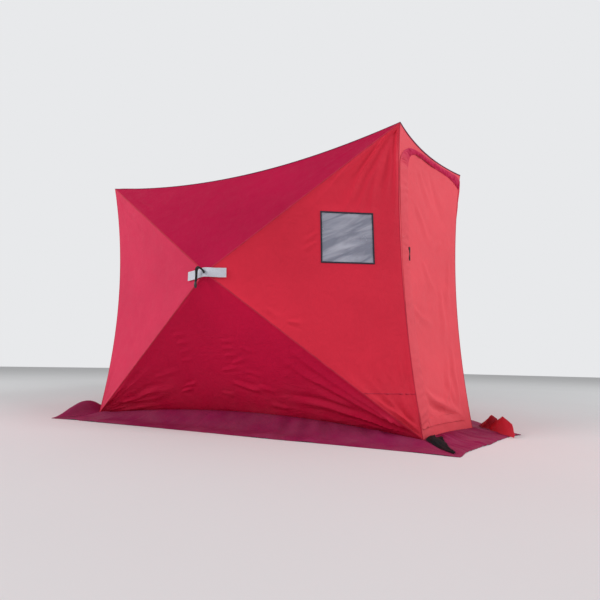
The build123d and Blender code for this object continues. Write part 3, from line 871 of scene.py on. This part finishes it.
def arch(grow, hinge_grow):
    """Door outline as (x, z) points from its bottom left round over the top."""
    low, high = DOOR_BOTTOM - grow, DOOR_TOP + grow
    left = lambda z: DOOR_LATCH_MARGIN - straight_half(z) - grow
    right = lambda z: straight_half(z) - DOOR_HINGE_MARGIN + hinge_grow
    corners = [(left(low), low), (left(high), high), (right(high), high), (right(low), low)]
    points = [corners[0]]
    for i, radius in ((1, DOOR_CORNER_RADIUS + grow), (2, HINGE_CORNER_RADIUS + grow)):
        before, here, after = (np.array(corners[j]) for j in (i - 1, i, i + 1))
        a, b = (way / norm(way) for way in (before - here, after - here))
        half = math.acos(a @ b) / 2
        centre = here + (a + b) / norm(a + b) * (radius / math.sin(half))
        first, last = (here + way * radius / math.tan(half) - centre for way in (a, b))
        turn = math.acos(first @ last / radius**2)
        for share in shares(9):
            spot = first * math.sin((1 - share) * turn) + last * math.sin(share * turn)
            points.append(tuple(centre + spot / math.sin(turn)))
    points.append(corners[3])
    return np.array(points)


def resample(points, count):
    """The same line with evenly spaced points, ends kept."""
    length = np.append(0, np.cumsum(norm(np.diff(points, axis=0), axis=1)))
    k = np.linspace(0, length[-1], count)
    return np.stack([np.interp(k, length, points[:, i]) for i in range(points.shape[1])], -1)


def rounded(points, count):
    """A smooth curve past the same points, each at its share along the line."""
    knots, places = shares(len(points)), shares(40 * len(points))
    fine = np.stack([np.interp(places, knots, points[:, i]) for i in range(2)], -1)
    for _ in range(60):
        fine[1:-1] = (fine[:-2] + 2 * fine[1:-1] + fine[2:]) / 4
    pick = np.linspace(0, len(fine) - 1, count)
    return np.stack([np.interp(pick, np.arange(len(fine)), fine[:, i]) for i in range(2)], -1)


def door_folds(q):
    x, z = q[..., 0], q[..., 1]
    rise = 0.0025 * noise(x / 0.16, z / 0.25, 41) + 0.0012 * noise(x / 0.05, z / 0.09, 43)
    for i, fold in enumerate(DOOR_FOLDS):
        rise = rise + crease(q, *fold, 90 + i)
    return rise


# Folds of the door: from and to in x and height, then width, height and bend
DOOR_FOLDS = [
    (-0.17, 0.215, 0.27, 0.052, 0.017, 0.008, 0.02), (-0.15, 0.16, 0.20, 0.085, 0.020, -0.007, 0.03),
    (0.06, 0.136, 0.13, 0.30, 0.016, 0.006, 0.03), (0.11, 0.13, 0.15, 0.42, 0.014, 0.005, -0.03),
    (0.18, 0.10, 0.19, 0.52, 0.014, 0.005, 0.02), (0.155, 0.11, 0.10, 0.24, 0.014, -0.004, 0.0),
    (-0.13, 1.20, 0.10, 0.98, 0.020, 0.005, 0.03), (-0.10, 1.42, 0.12, 1.16, 0.018, 0.004, 0.04),
    (0.02, 1.45, 0.22, 1.12, 0.020, -0.004, 0.0), (0.20, 1.05, -0.02, 0.80, 0.020, 0.005, 0.05),
    (-0.18, 0.62, 0.05, 0.52, 0.018, 0.005, 0.0), (0.16, 0.78, 0.13, 0.40, 0.016, 0.005, 0.02),
    (-0.05, 0.90, 0.12, 0.70, 0.018, 0.004, 0.0), (0.24, 0.95, 0.20, 0.60, 0.014, 0.004, 0.0),
]


def door_surface(q, calm, lift=0.0):
    x, z = q[..., 0], q[..., 1]
    return door_wall(x, z) + door_wall_normal(x, z) * (door_folds(q) * calm + lift)[..., None]


hole = arch(DOOR_GAP, HINGE_GAP)
heights = np.linspace(EDGE_HEIGHT, EAVE_HEIGHT, 60)
outer_left = paired(-wall_half(heights), heights)
outer_right = outer_left[::-1] * (-1, 1)
eave_x = np.linspace(-1, 1, 30)
outer_top = paired(eave_x * DOOR_WALL_TOP_WIDTH / 2, EAVE_HEIGHT)
outer_base = paired(-eave_x * half_door, EDGE_HEIGHT)
inner_left, inner_top, inner_right = hole[:6], hole[5:15], hole[14:]
inner_base = np.stack([inner_right[-1], inner_left[0]])
counts = (120, 40, 120, 36)
loops = []
inner_lines = (inner_left, inner_top, inner_right, inner_base)
outer_lines = (outer_left, outer_top, outer_right, outer_base)
for lines in (inner_lines, outer_lines):
    loops.append(np.concatenate([resample(line, n + 1)[:-1] for line, n in zip(lines, counts)]))
share = shares(14)[:, None, None]
q = loops[0] + (loops[1] - loops[0]) * share
margin = np.minimum(share[..., 0], 1 - share[..., 0]) * norm(loops[1] - loops[0], axis=-1)
grid, normals = door_surface(q, smooth(margin / 0.015) * 0.6), door_wall_normal(q[..., 0], q[..., 1])
mats = (door_lit_red, lining)
surround, cut = cloth_piece("door_surround_cloth", grid, q, mats, normals=normals, wrap=True)
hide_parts("door_left_jamb", "door_right_jamb", "door_header", "door_sill")
declare(surround, *cut, "stretched", "roof_poles")

# Door, which hangs by its sewn edge and its zips
outline = arch(0, 0)
rows, cols = 170, 72
half_count = len(outline) // 2
left_line = resample(outline[:half_count], rows)
right_line = resample(outline[half_count:][::-1], rows)
share = shares(cols)
q = left_line[:, None] + (right_line - left_line)[:, None] * share[None, :, None]
margin = np.minimum(share, 1 - share) * 0.35
grid, normals = door_surface(q, smooth(margin / 0.02)), door_wall_normal(q[..., 0], q[..., 1])
door, cut = cloth_piece("door_cloth", grid, q, (door_lit_red, lining), body="door", normals=normals)
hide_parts("door")
declare(door, *cut, "hung", "door_surround_cloth")

# Storm flap: a puckered band that arches over the zip, by x and height of its two borders
flap_inner = np.array([
    (-0.146, DOOR_BOTTOM - 0.02), (-0.146, 0.17), (-0.156, 0.31), (-0.163, 0.50), (-0.176, 0.70),
    (-0.195, 0.86), (-0.198, 0.96), (-0.203, 1.17), (-0.216, 1.33), (-0.216, 1.374),
    (-0.205, 1.408), (-0.180, 1.436), (-0.138, 1.459), (-0.06, 1.472), (0.03, 1.474),
    (0.164, 1.474), (0.240, 1.467), (0.285, 1.453), (0.318, 1.434), (0.331, 1.419),
])
flap_outer = np.array([
    (-0.250, DOOR_BOTTOM - 0.02), (-0.259, 0.17), (-0.266, 0.31), (-0.273, 0.50), (-0.277, 0.70),
    (-0.283, 0.86), (-0.287, 0.96), (-0.304, 1.17), (-0.320, 1.333), (-0.308, 1.370),
    (-0.274, 1.413), (-0.216, 1.457), (-0.156, 1.480), (-0.06, 1.498), (0.03, 1.504),
    (0.164, 1.506), (0.240, 1.506), (0.300, 1.504), (0.333, 1.490), (0.337, 1.455),
])
count, across = 340, 18
flap_inner, flap_outer = (rounded(line, count) for line in (flap_inner, flap_outer))
share, along = shares(across)[None], np.linspace(0, FLAP_LENGTH, count)[:, None]
q = flap_inner[:, None] + (flap_outer - flap_inner)[:, None] * share[..., None]
pucker = np.sin(along / 0.0052 + 3.5 * noise(along / 0.05, share * 2, 7) + 2.6 * share)
pucker = 0.0030 * pucker * (0.2 + 0.8 * np.abs(noise(along / 0.06, share, 9)))
pucker = pucker + 0.0030 * noise(along / 0.035 + share, share * 1.5, 12)
near_border = smooth(np.minimum(share + 0.06, 1.04 - share) / 0.25)
lift = FLAP_LIFT + 0.007 * hump(share, 0.8) + pucker * near_border
uv = paired(along, share * FLAP_WIDTH)
flap, cut = cloth_piece("storm_flap_cloth", door_surface(q, 0, lift), uv, (flap_lit_red, lining))
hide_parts("storm_flap")
declare(flap, *cut, "hung", "door_surround_cloth")


# Zip: one tape with its coil on the surround and one on the door
def zip_tape(name, outer, inner, body):
    count = 420
    rows = []
    for share, lift in ((0.0, -0.0007), (0.25, 0.0), (0.7, 0.0002), (1.0, -0.0002)):
        line = resample(outer + (inner - outer) * share, count)
        teeth = 0.0004 * np.sign(np.sin(np.arange(count) * math.pi / 2 + 0.7)) if share > 0.5 else 0.0
        rows.append(door_surface(line, 0, lift + teeth + np.zeros(count)))
    points, faces, uv = band(rows, np.linspace(0, ZIP_LENGTH, count))
    make(name, points, faces, (zip_red,), uv=uv, body=body)


def zipped(grow, hinge_grow):
    outline = arch(grow, hinge_grow)
    return np.concatenate([outline[-1:], outline[:-1]])


# Hem that hangs over the zip along the foot of the door
cols, rows = 120, 9
w, k = crossed(shares(rows), shares(cols))
z = DOOR_BOTTOM + HEM_ABOVE - HEM_DROP * w
x0, x1 = -straight_half(z) + DOOR_LATCH_MARGIN, straight_half(z) - DOOR_HINGE_MARGIN
q = paired(x0 + (x1 - x0) * k, z + 0.0015 * noise(k * 9, w, 77))
lift = FLAP_LIFT + FLAP_LIFT * w + 0.0012 * noise(k * 14, w * 0.6, 78) * w
grid = door_surface(q, smooth((1.02 - w) / 0.4) * 0.4, lift)
hem, cut = cloth_piece("door_hem_cloth", grid, q, (door_lit_red, lining), body="door")
declare(hem, *cut, "hung", "door_cloth")

outer, inner = zipped(DOOR_GAP + ZIP_OVERLAP, HINGE_GAP), zipped(DOOR_GAP * 0.55, HINGE_GAP)
zip_tape("zip_tape_shelter", outer, inner, "shelter")
outer, inner = zipped(-ZIP_OVERLAP, -ZIP_OVERLAP), zipped(DOOR_GAP * 0.45, -ZIP_OVERLAP)
zip_tape("zip_tape_door", outer, inner, "door")

# Skirts: slope from the bottom edge of each wall and lie in loose waves on the ground

# Where a skirt is bunched up: share along it, spread and height
SKIRT_HUMPS = {
    "front_right": ((0.12, 0.03, 0.03),),
    "back_left": ((0.965, 0.018, 0.082), (0.90, 0.025, 0.03)),
    "back_right": ((0.5, 0.03, 0.02),),
}


def skirt_surface(place, t, k):
    """Point of a skirt: t along its wall and k from the wall out to its hem."""
    i, (a, b) = list(sides).index(place), sides[place]
    near_edge = level_edge(bottom, a, b)(np.clip(t, 0.004, 0.996)) - UP * SKIRT_TUCK
    start, stop = moved_out(a, SKIRT_REACH), moved_out(b, SKIRT_REACH)
    gap = unit(stop - start) * SKIRT_CORNER_GAP
    hem = start + gap + (stop - start - 2 * gap) * t[..., None]
    reach = 1 - 0.05 * (1 + noise(t / 0.16, t * 0, 60 + i)) * smooth(np.minimum(t, 1 - t) / 0.08)
    out = (k * reach)[..., None]
    flat = near_edge * (1 - out) + hem * out
    wave = np.abs(noise(t / 0.05 + 0.5 * k, k * 0.7, 30 + i)) ** 1.4
    ripple = noise(t / 0.016 + 1.2 * k, k * 2.2, 33 + i)
    slope = near_edge[..., 2] * (1 - smooth(k / 0.62))
    calm = 0.25 + 0.75 * smooth(np.minimum(t, 1 - t) / 0.05)
    waves = (0.016 * wave + 0.0035 * ripple) * smooth(k / 0.25) * smooth((1.12 - k) / 0.3)
    lift = slope + waves * calm + SKIRT_LIFT
    for centre, spread, high in SKIRT_HUMPS.get(place, ()):
        lift = lift + high * (np.exp(-(((t - centre) / spread) ** 2)) * hump(k * 0.92, 1.2))
    flat[..., 2] = np.where(k == 0, near_edge[..., 2], np.maximum(lift, SKIRT_LIFT))
    return flat


for place, (a, b) in sides.items():
    k, t = crossed(shares(24), shares(170))
    length = norm(moved_out(b, SKIRT_REACH) - moved_out(a, SKIRT_REACH))
    grid, uv = skirt_surface(place, t, k), paired(t * length, k * SKIRT_REACH)
    mats = (shaded_skirt_purple, shaded_skirt_purple)
    obj, cut = cloth_piece(f"{place}_skirt_cloth", grid, uv, mats, facing=upfacing)
    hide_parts(f"{place}_skirt")
    declare(obj, *cut, "laid", "bottom_corner_feet")


# Where the skirt by the door is bunched up: pointed folds that stand on it
def bunched(name, foot, crown, bulge):
    """A fold from its foot line up to its crown, creased below the crown's second point."""
    cols, rows = 64, 26
    foot, crown = np.array(foot), np.array(crown)
    length = np.append(0, np.cumsum(norm(np.diff(crown, axis=0), axis=1)))
    apex = length[1] / length[-1]
    low, high = resample(foot, cols), resample(crown, cols)
    k, t = shares(rows)[:, None, None], shares(cols)[None, :, None]
    out = unit(np.cross(low[-1] - low[0], UP))
    ridge = np.minimum(t / apex, (1 - t) / (1 - apex))
    fuller = ridge * (0.4 + 0.6 * k) + 0.3 * hump(k) * hump(t)
    points = low + (high - low) * k + out * bulge * fuller
    k, t = k[..., 0], t[..., 0]
    uneven = 0.003 * noise(t * 6 + 2 * k, k * 1.2, len(name)) * hump(t)
    points = points + out * uneven[..., None]
    points[..., 2] = np.maximum(points[..., 2], BUNCHED_FOOT)
    width = norm(np.diff(low, axis=0), axis=1).sum()
    height = norm(high - low, axis=1).max()
    uv, mats = paired(t * width, k * height), (fold_lit_red, fold_lit_red)
    obj, cut = cloth_piece(name, points, uv, mats, thickness=BUNCHED_THICKNESS)
    declare(obj, *cut, "laid", "front_right_skirt_cloth")


near_foot = [(0.385, -1.420, 0.006), (0.29, -1.49, 0.006), (0.212, -1.588, 0.004)]
near_crown = [(0.382, -1.424, 0.012), (0.328, -1.533, 0.082), (0.272, -1.576, 0.056), (0.216, -1.592, 0.014)]
far_foot = [(0.420, -1.372, 0.006), (0.37, -1.41, 0.006), (0.345, -1.452, 0.006)]
far_crown = [(0.400, -1.388, 0.016), (0.338, -1.480, 0.082), (0.375, -1.486, 0.060), (0.362, -1.462, 0.014)]
bunched("skirt_loop_near_cloth", near_foot, near_crown, 0.012)
bunched("skirt_loop_far_cloth", far_foot, far_crown, 0.010)

# Corner of the front skirt turned back, so that its dark lining shows
v, u = crossed(shares(60), shares(30))
t = 0.004 + u * (0.25 * (1 - v) ** 0.75 + 0.02) * (1 + 0.28 * noise(v * 7, v * 0, 51) * smooth(v / 0.1))
k = 0.05 + 0.79 * v + 0.03 * noise(u * 3, v * 2, 52)
points = skirt_surface("front", t, k)
arched = 0.006 * hump(u, 0.7) * (1 - 0.6 * v)
points[..., 2] += 0.0035 + arched + 0.0015 * noise(u * 5, v * 9, 53)
size = norm(points[0, -1] - points[0, 0]), norm(points[-1, 0] - points[0, 0])
uv = paired(u * size[0], v * size[1])
turned, cut = cloth_piece("skirt_turned_corner_cloth", points, uv, (lining, lining), facing=upfacing)
declare(turned, *cut, "laid", "front_skirt_cloth")

# Windows: milky film inside a bound opening
BINDING_PROFILE = (
    (-0.0015, -0.0006), (-0.0012, 0.0016), (0.002, 0.0022),
    (0.005, 0.0021), (WINDOW_BORDER, 0.0014), (WINDOW_BORDER + 0.0004, -0.0005),
)
borders = []
for wall in hub_walls:
    fan = fans[f"{wall}_window"]
    centre, level, up = window_place(fan)
    x, y = crossed(np.linspace(-0.5, 0.5, 30), np.linspace(-0.5, 0.5, 30))
    wide, high = x * (WINDOW_WIDTH - FILM_GAP), y * (WINDOW_HEIGHT - FILM_GAP)
    spots = centre + wide[..., None] * level + high[..., None] * up
    s, t = fan.locate(fan.flat(spots))
    calm = smooth((0.5 - np.maximum(abs(x), abs(y))) / 0.1)
    ripple = 0.0016 * noise((x + 0.7 * y) * 5, (x - y) * 1.2, 21) * calm - 0.0006
    grid, uv = fan.raised(s, t, ripple), paired(x * WINDOW_WIDTH, y * WINDOW_HEIGHT)
    mats = (window_film, window_film)
    obj, cut = cloth_piece(f"{wall}_window_film", grid, uv, mats, thickness=FILM_THICKNESS)
    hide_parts("window_panes")
    declare(obj, *cut, "stretched", f"{wall}_window_cloth")
    angles = np.linspace(0, 2 * math.pi, 160, endpoint=False)
    tip = math.atan2(WINDOW_HEIGHT, WINDOW_WIDTH)
    for key in (tip, math.pi - tip, math.pi + tip, 2 * math.pi - tip):
        angles[np.argmin(np.abs(angles - key))] = key
    rings = []
    for grow, lift in BINDING_PROFILE:
        s, t = fan.locate(fan.flat(opening((centre, level, up), angles, grow)))
        rings.append(fan.raised(s, t, lift))
    borders.append(band(rings, angles * 0.16, wrap=True))
points, faces, uv = joined(borders)
obj = make("window_binding", points, faces, (black_binding,), uv=uv)
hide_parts("window_frames")


# Seams and bindings
def strip(first, second, length, size=SEAM, count=90):
    """Raised band over a border of two sheets; each gives points at a share of it and a distance inside."""
    half_width, height = size
    k = shares(count)
    mid = (first(k, 0 * k) + second(k, 0 * k)) / 2

    def half(side):
        profile = ((1.0, -BAND_FOOT), (0.92, 0.8 * height), (0.4, 1.0 * height))
        return [side(k, 0 * k + w * half_width, lift) for w, lift in profile]

    a, b = first(k, 0 * k + half_width), second(k, 0 * k + half_width)
    out = unit(2 * mid - a - b + unit(mid - middle) * 1e-3)
    out = out * np.sign(np.sum(out * (mid - middle), -1, keepdims=True))
    crest = mid + unit(out + unit(mid - middle)) * (1.25 * height)
    return band([*half(first), crest, *half(second)[::-1]], k * length)


def fan_side(name, side):
    return lambda k, w, lift=0.0: fans[name].beside(side, k, w, lift)


def back(side):
    return lambda k, w, lift=0.0: side(1 - k, w, lift)


PANEL_SEAMS = (
    ("window", "start", "lower", "start"), ("window", "end", "upper", "start"),
    ("plain", "start", "lower", "end"), ("plain", "end", "upper", "end"),
)
seams = []
for wall in hub_walls:
    for a, side_a, b, side_b in PANEL_SEAMS:
        seams.append(strip(fan_side(f"{wall}_{a}", side_a), fan_side(f"{wall}_{b}", side_b), 1.2))
places = list(sides)
for i, place in enumerate(places):
    pair = place, places[(i + 1) % 5]
    corner = next(name for name in sides[pair[0]] if name in sides[pair[1]])
    ends = ["start" if sides[panel][0] == corner else "end" for panel in pair]
    seams.append(strip(*(fan_side(f"roof_{panel}", end) for panel, end in zip(pair, ends)), 1.4))


def door_side(sign):
    """The door wall beside one of its uprights."""
    def side(k, w, lift=0.0):
        z = EDGE_HEIGHT + (EAVE_HEIGHT - EDGE_HEIGHT) * k
        return door_surface(paired(sign * (wall_half(z) - w), z), 0, lift)
    return side


def door_head(k, w, lift=0.0):
    x = (2 * k - 1) * DOOR_WALL_TOP_WIDTH / 2
    return door_surface(paired(x, EAVE_HEIGHT - w), 0, lift)


for wall, sign in (("front_left", -1), ("front_right", 1)):
    seams.append(strip(fan_side(f"{wall}_window", "edge"), door_side(sign), 1.5, DOOR_SEAM))
for a, b in (
    ("front_left_plain", "back_left_plain"), ("front_right_plain", "back_right_plain"),
    ("back_left_window", "back_right_window"),
):
    seams.append(strip(fan_side(a, "edge"), fan_side(b, "edge"), 1.5))


def stitched_line(fan, x0, x1, z):
    """Row of stitching across a panel, as where the corner patch ends."""
    x = np.linspace(x0, x1, 60)
    rows = []
    for w, lift in ((-1.0, -BAND_FOOT), (-0.7, 0.0008), (0.0, 0.0012), (0.7, 0.0008), (1.0, -BAND_FOOT)):
        s, t = fan.locate(paired(x, z + w * LINE_HALF_WIDTH))
        rows.append(fan.surface(s, t, lift))
    return band(rows, x)


for wall in hub_walls:
    seams.append(stitched_line(fans[f"{wall}_window"], *PATCH_LINE))
points, faces, uv = joined(seams)
make("seam_tape", points, faces, (seam_red,), uv=uv)

eave = [strip(fan_side("roof_front", "edge"), door_head, 0.7, EAVE_SEAM, 60)]
for wall, names in hub_walls.items():
    roof = next(place for place, pair in sides.items() if set(pair) == set(names))
    roof_side = fan_side(f"roof_{roof}", "edge")
    if sides[roof][0] != names[0]:
        roof_side = back(roof_side)
    eave.append(strip(fan_side(f"{wall}_upper", "edge"), roof_side, 2.0, EAVE_SEAM, 120))
points, faces, uv = joined(eave)
make("eave_piping", points, faces, (eave_binding,), uv=uv)

# Reflective strips, which pass over the hub caps
CAP_RADIUS, CAP_TOP, STRIP_FALL, STRIP_LIFT = 0.0205, 0.0072, 0.60, 0.0022
for wall in hub_walls:
    hub, facing = wall_hub(wall)
    level = np.cross(UP, facing)
    turned = np.sign(level @ fans[f"{wall}_lower"].across)
    cols, rows = 71, 19
    over = STRIP_SHIFT * turned + np.linspace(-0.5, 0.5, cols) * STRIP_LENGTH
    x, y = crossed(over, np.linspace(-0.5, 0.5, rows) * STRIP_HEIGHT)
    spots = hub + x[..., None] * level + y[..., None] * UP
    depth = np.full(x.shape, np.inf)
    for place in cloth_colours:
        fan = fans[f"{wall}_{place}"]
        normal = fan.flip * unit(np.cross(fan.chord, fan.ends[0] - hub))
        depth = np.minimum(depth, -((spots - hub) @ normal / (facing @ normal)))
    over_cap = CAP_TOP - STRIP_FALL * np.maximum(np.hypot(x, y) - CAP_RADIUS, 0.0)
    rise = np.maximum(np.minimum(depth, 0.0) + STRIP_LIFT, over_cap)
    grid, mats = spots + facing * rise[..., None], (reflective_tape, reflective_tape)
    obj, cut = cloth_piece(f"{wall}_reflective_strip", grid, paired(x, y), mats, thickness=STRIP_THICKNESS)
    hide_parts("reflective_strips")
    declare(obj, *cut, "stretched", f"{wall}_upper_cloth")


# Pull straps: webbing that starts on the strip over each hub, with a toggle on its tail
def tube(path, across, wide, thick):
    """Closed band swept along a path; wide and thick are given at each of its points."""
    count = 12
    along = unit(np.gradient(path, axis=0))
    side = unit(across - along * np.sum(across * along, -1, keepdims=True))
    face = np.cross(along, side)
    turn = np.linspace(0, 2 * math.pi, count, endpoint=False)
    ring = np.stack([np.sign(v) * np.abs(v) ** 0.55 for v in (np.cos(turn), np.sin(turn))], -1)
    over, out = ring[:, 0] * wide[:, None] / 2, ring[:, 1] * thick[:, None] / 2
    points = path[:, None] + side[:, None] * over[..., None] + face[:, None] * out[..., None]
    faces = grid_faces(len(path), count, wrap=True)
    points = np.concatenate([points.reshape(-1, 3), path[:1], path[-1:]])
    n, last = len(points) - 2, len(path) * count - count
    j = np.arange(count)
    after, start, stop = (j + 1) % count, 0 * j + n, 0 * j + n + 1
    caps = np.concatenate([np.stack([after, j, start], -1), np.stack([last + j, last + after, stop], -1)])
    length = np.append(0, np.cumsum(norm(np.diff(path, axis=0), axis=1)))
    uv = paired(np.repeat(length, count), np.tile(np.sin(turn), len(path)))
    return points, faces, caps, np.concatenate([uv, [[0, 0], [length[-1], 0]]])


# Metres along the wall, up and out from a hub
STRAP_POINTS = (
    (-0.004, -0.005, 0.0125), (0.000, 0.003, 0.0155), (0.008, 0.013, 0.020),
    (0.020, 0.019, 0.026), (0.030, 0.012, 0.026), (0.032, -0.006, 0.021),
    (0.034, -0.024, 0.016), (0.037, -0.040, 0.012), (0.040, -0.050, 0.011),
)
straps, toggles = [], []
for wall in hub_walls:
    hub, facing = wall_hub(wall)
    along = fans[f"{wall}_lower"].across
    spots = np.array(STRAP_POINTS)
    for _ in range(3):
        cut = np.stack([0.75 * spots[:-1] + 0.25 * spots[1:], 0.25 * spots[:-1] + 0.75 * spots[1:]], 1)
        spots = np.concatenate([spots[:1], cut.reshape(-1, 3), spots[-1:]])
    spots = resample(spots, 70)
    path = hub + along * spots[:, :1] + UP * spots[:, 1:2] + facing * spots[:, 2:]
    k = shares(70)
    across = unit(along * (0.55 + 0.45 * k)[:, None] + UP * (0.75 * (1 - smooth(k / 0.5)))[:, None])
    wide = 0.017 - 0.0045 * smooth((k - 0.3) / 0.4)
    thick = 0.0085 - 0.0050 * smooth((k - 0.30) / 0.25)
    straps.append((path, across, wide, thick))
    fall = shares(16)
    path = path[-1] - UP * (fall * 0.030 - 0.004)[:, None] - along * (0.004 * fall)[:, None] + facing * 0.001
    swell = hump(0.12 + 0.76 * fall, 0.6)
    toggles.append((path, along + 0 * path, 0.013 * swell, 0.011 * swell))
for name, bands, mat, slot in (
    ("pull_strap_webbing", straps, black_webbing, "black_webbing"),
    ("pull_strap_toggles", toggles, black_plastic, "black_plastic"),
):
    all_points, all_faces, all_uv, count = [], [], [], 0
    for path_and_size in bands:
        points, faces, caps, uv = tube(*path_and_size)
        all_points.append(points)
        all_faces.extend((faces + count).tolist())
        all_faces.extend((caps + count).tolist())
        all_uv.append(uv)
        count += len(points)
    obj = make(name, np.concatenate(all_points), all_faces, (mat,), uv=np.concatenate(all_uv))
    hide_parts("pull_straps")

# CAD nodes that stay get their own finish
node_finish = {
    "wall_poles": fibreglass, "roof_poles": fibreglass, "wall_hubs": black_plastic, "roof_hub": black_plastic,
    "top_corner_fittings": black_plastic, "bottom_corner_feet": black_plastic, "zip_pull": zip_metal,
}
for name, mat in node_finish.items():
    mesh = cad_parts[name].data
    mesh.materials.clear()
    mesh.materials.append(mat)

# Stage: a plain pale floor, two soft lights and a background that the camera sees pale
floor_mesh = bpy.data.meshes.new("floor")
floor_mesh.from_pydata([(-30, -30, 0), (30, -30, 0), (30, 30, 0), (-30, 30, 0)], [], [(0, 1, 2, 3)])
floor = linked("floor", floor_mesh)
n = Nodes("pale_floor")
colour = n.blend(n.noise(0.8, 3), linear((226, 227, 229)), linear((232, 233, 235)))
floor_mesh.materials.append(n.finish(colour, 0.85))


def put(obj, axes, spot):
    rows = [[*row, p] for row, p in zip(np.stack(axes, 1).tolist(), spot)]
    obj.matrix_world = Matrix(rows + [[0, 0, 0, 1]])


def area_light(name, place, target, size, power):
    data = bpy.data.lights.new(name, "AREA")
    data.shape, data.size, data.energy = "DISK", size, power
    z = unit(np.array(place) - np.array(target))
    x = unit(np.cross(UP, z))
    put(linked(name, data), [x, np.cross(z, x), z], place)


area_light("key", (3.9, -9.4, 7.6), (0, 0, 0.8), 5.0, 560)
area_light("fill", (-9.6, 1.6, 5.6), (-0.8, -0.6, 0.7), 3.5, 420)

world = bpy.data.worlds.new("studio")
bpy.context.scene.world = world
world.use_nodes = True
tree = world.node_tree
tree.nodes.clear()
soft = add_node(tree, "Background", {0: (1, 1, 1, 1), 1: 0.45}).outputs[0]
pale = add_node(tree, "Background", {0: (*linear((232, 233, 235)), 1), 1: 1.0}).outputs[0]
seen_by_camera = add_node(tree, "LightPath").outputs["Is Camera Ray"]
both = add_node(tree, "MixShader", {0: seen_by_camera, 1: soft, 2: pale})
add_node(tree, "OutputWorld", {"Surface": both.outputs[0]})
bpy.context.scene.view_settings.view_transform = "Standard"

# Camera at the photograph's place and angle
azimuth, pitch, roll = math.radians(-36.587), math.radians(12.7), math.radians(1.014)
forward = at(-math.sin(azimuth) * math.cos(pitch), math.cos(azimuth) * math.cos(pitch), math.sin(pitch))
right = at(math.cos(azimuth), math.sin(azimuth))
up = np.cross(right, forward)
turned_right = math.cos(roll) * right + math.sin(roll) * up
turned_up = math.cos(roll) * up - math.sin(roll) * right
camera_data = bpy.data.cameras.new("camera")
camera_data.sensor_width = 36
camera_data.lens = 17.93
camera_data.shift_x = 0.0448
camera = linked("camera", camera_data)
put(camera, [turned_right, turned_up, -forward], (-1.5995, -2.11585, 0.3068))
bpy.context.scene.camera = camera
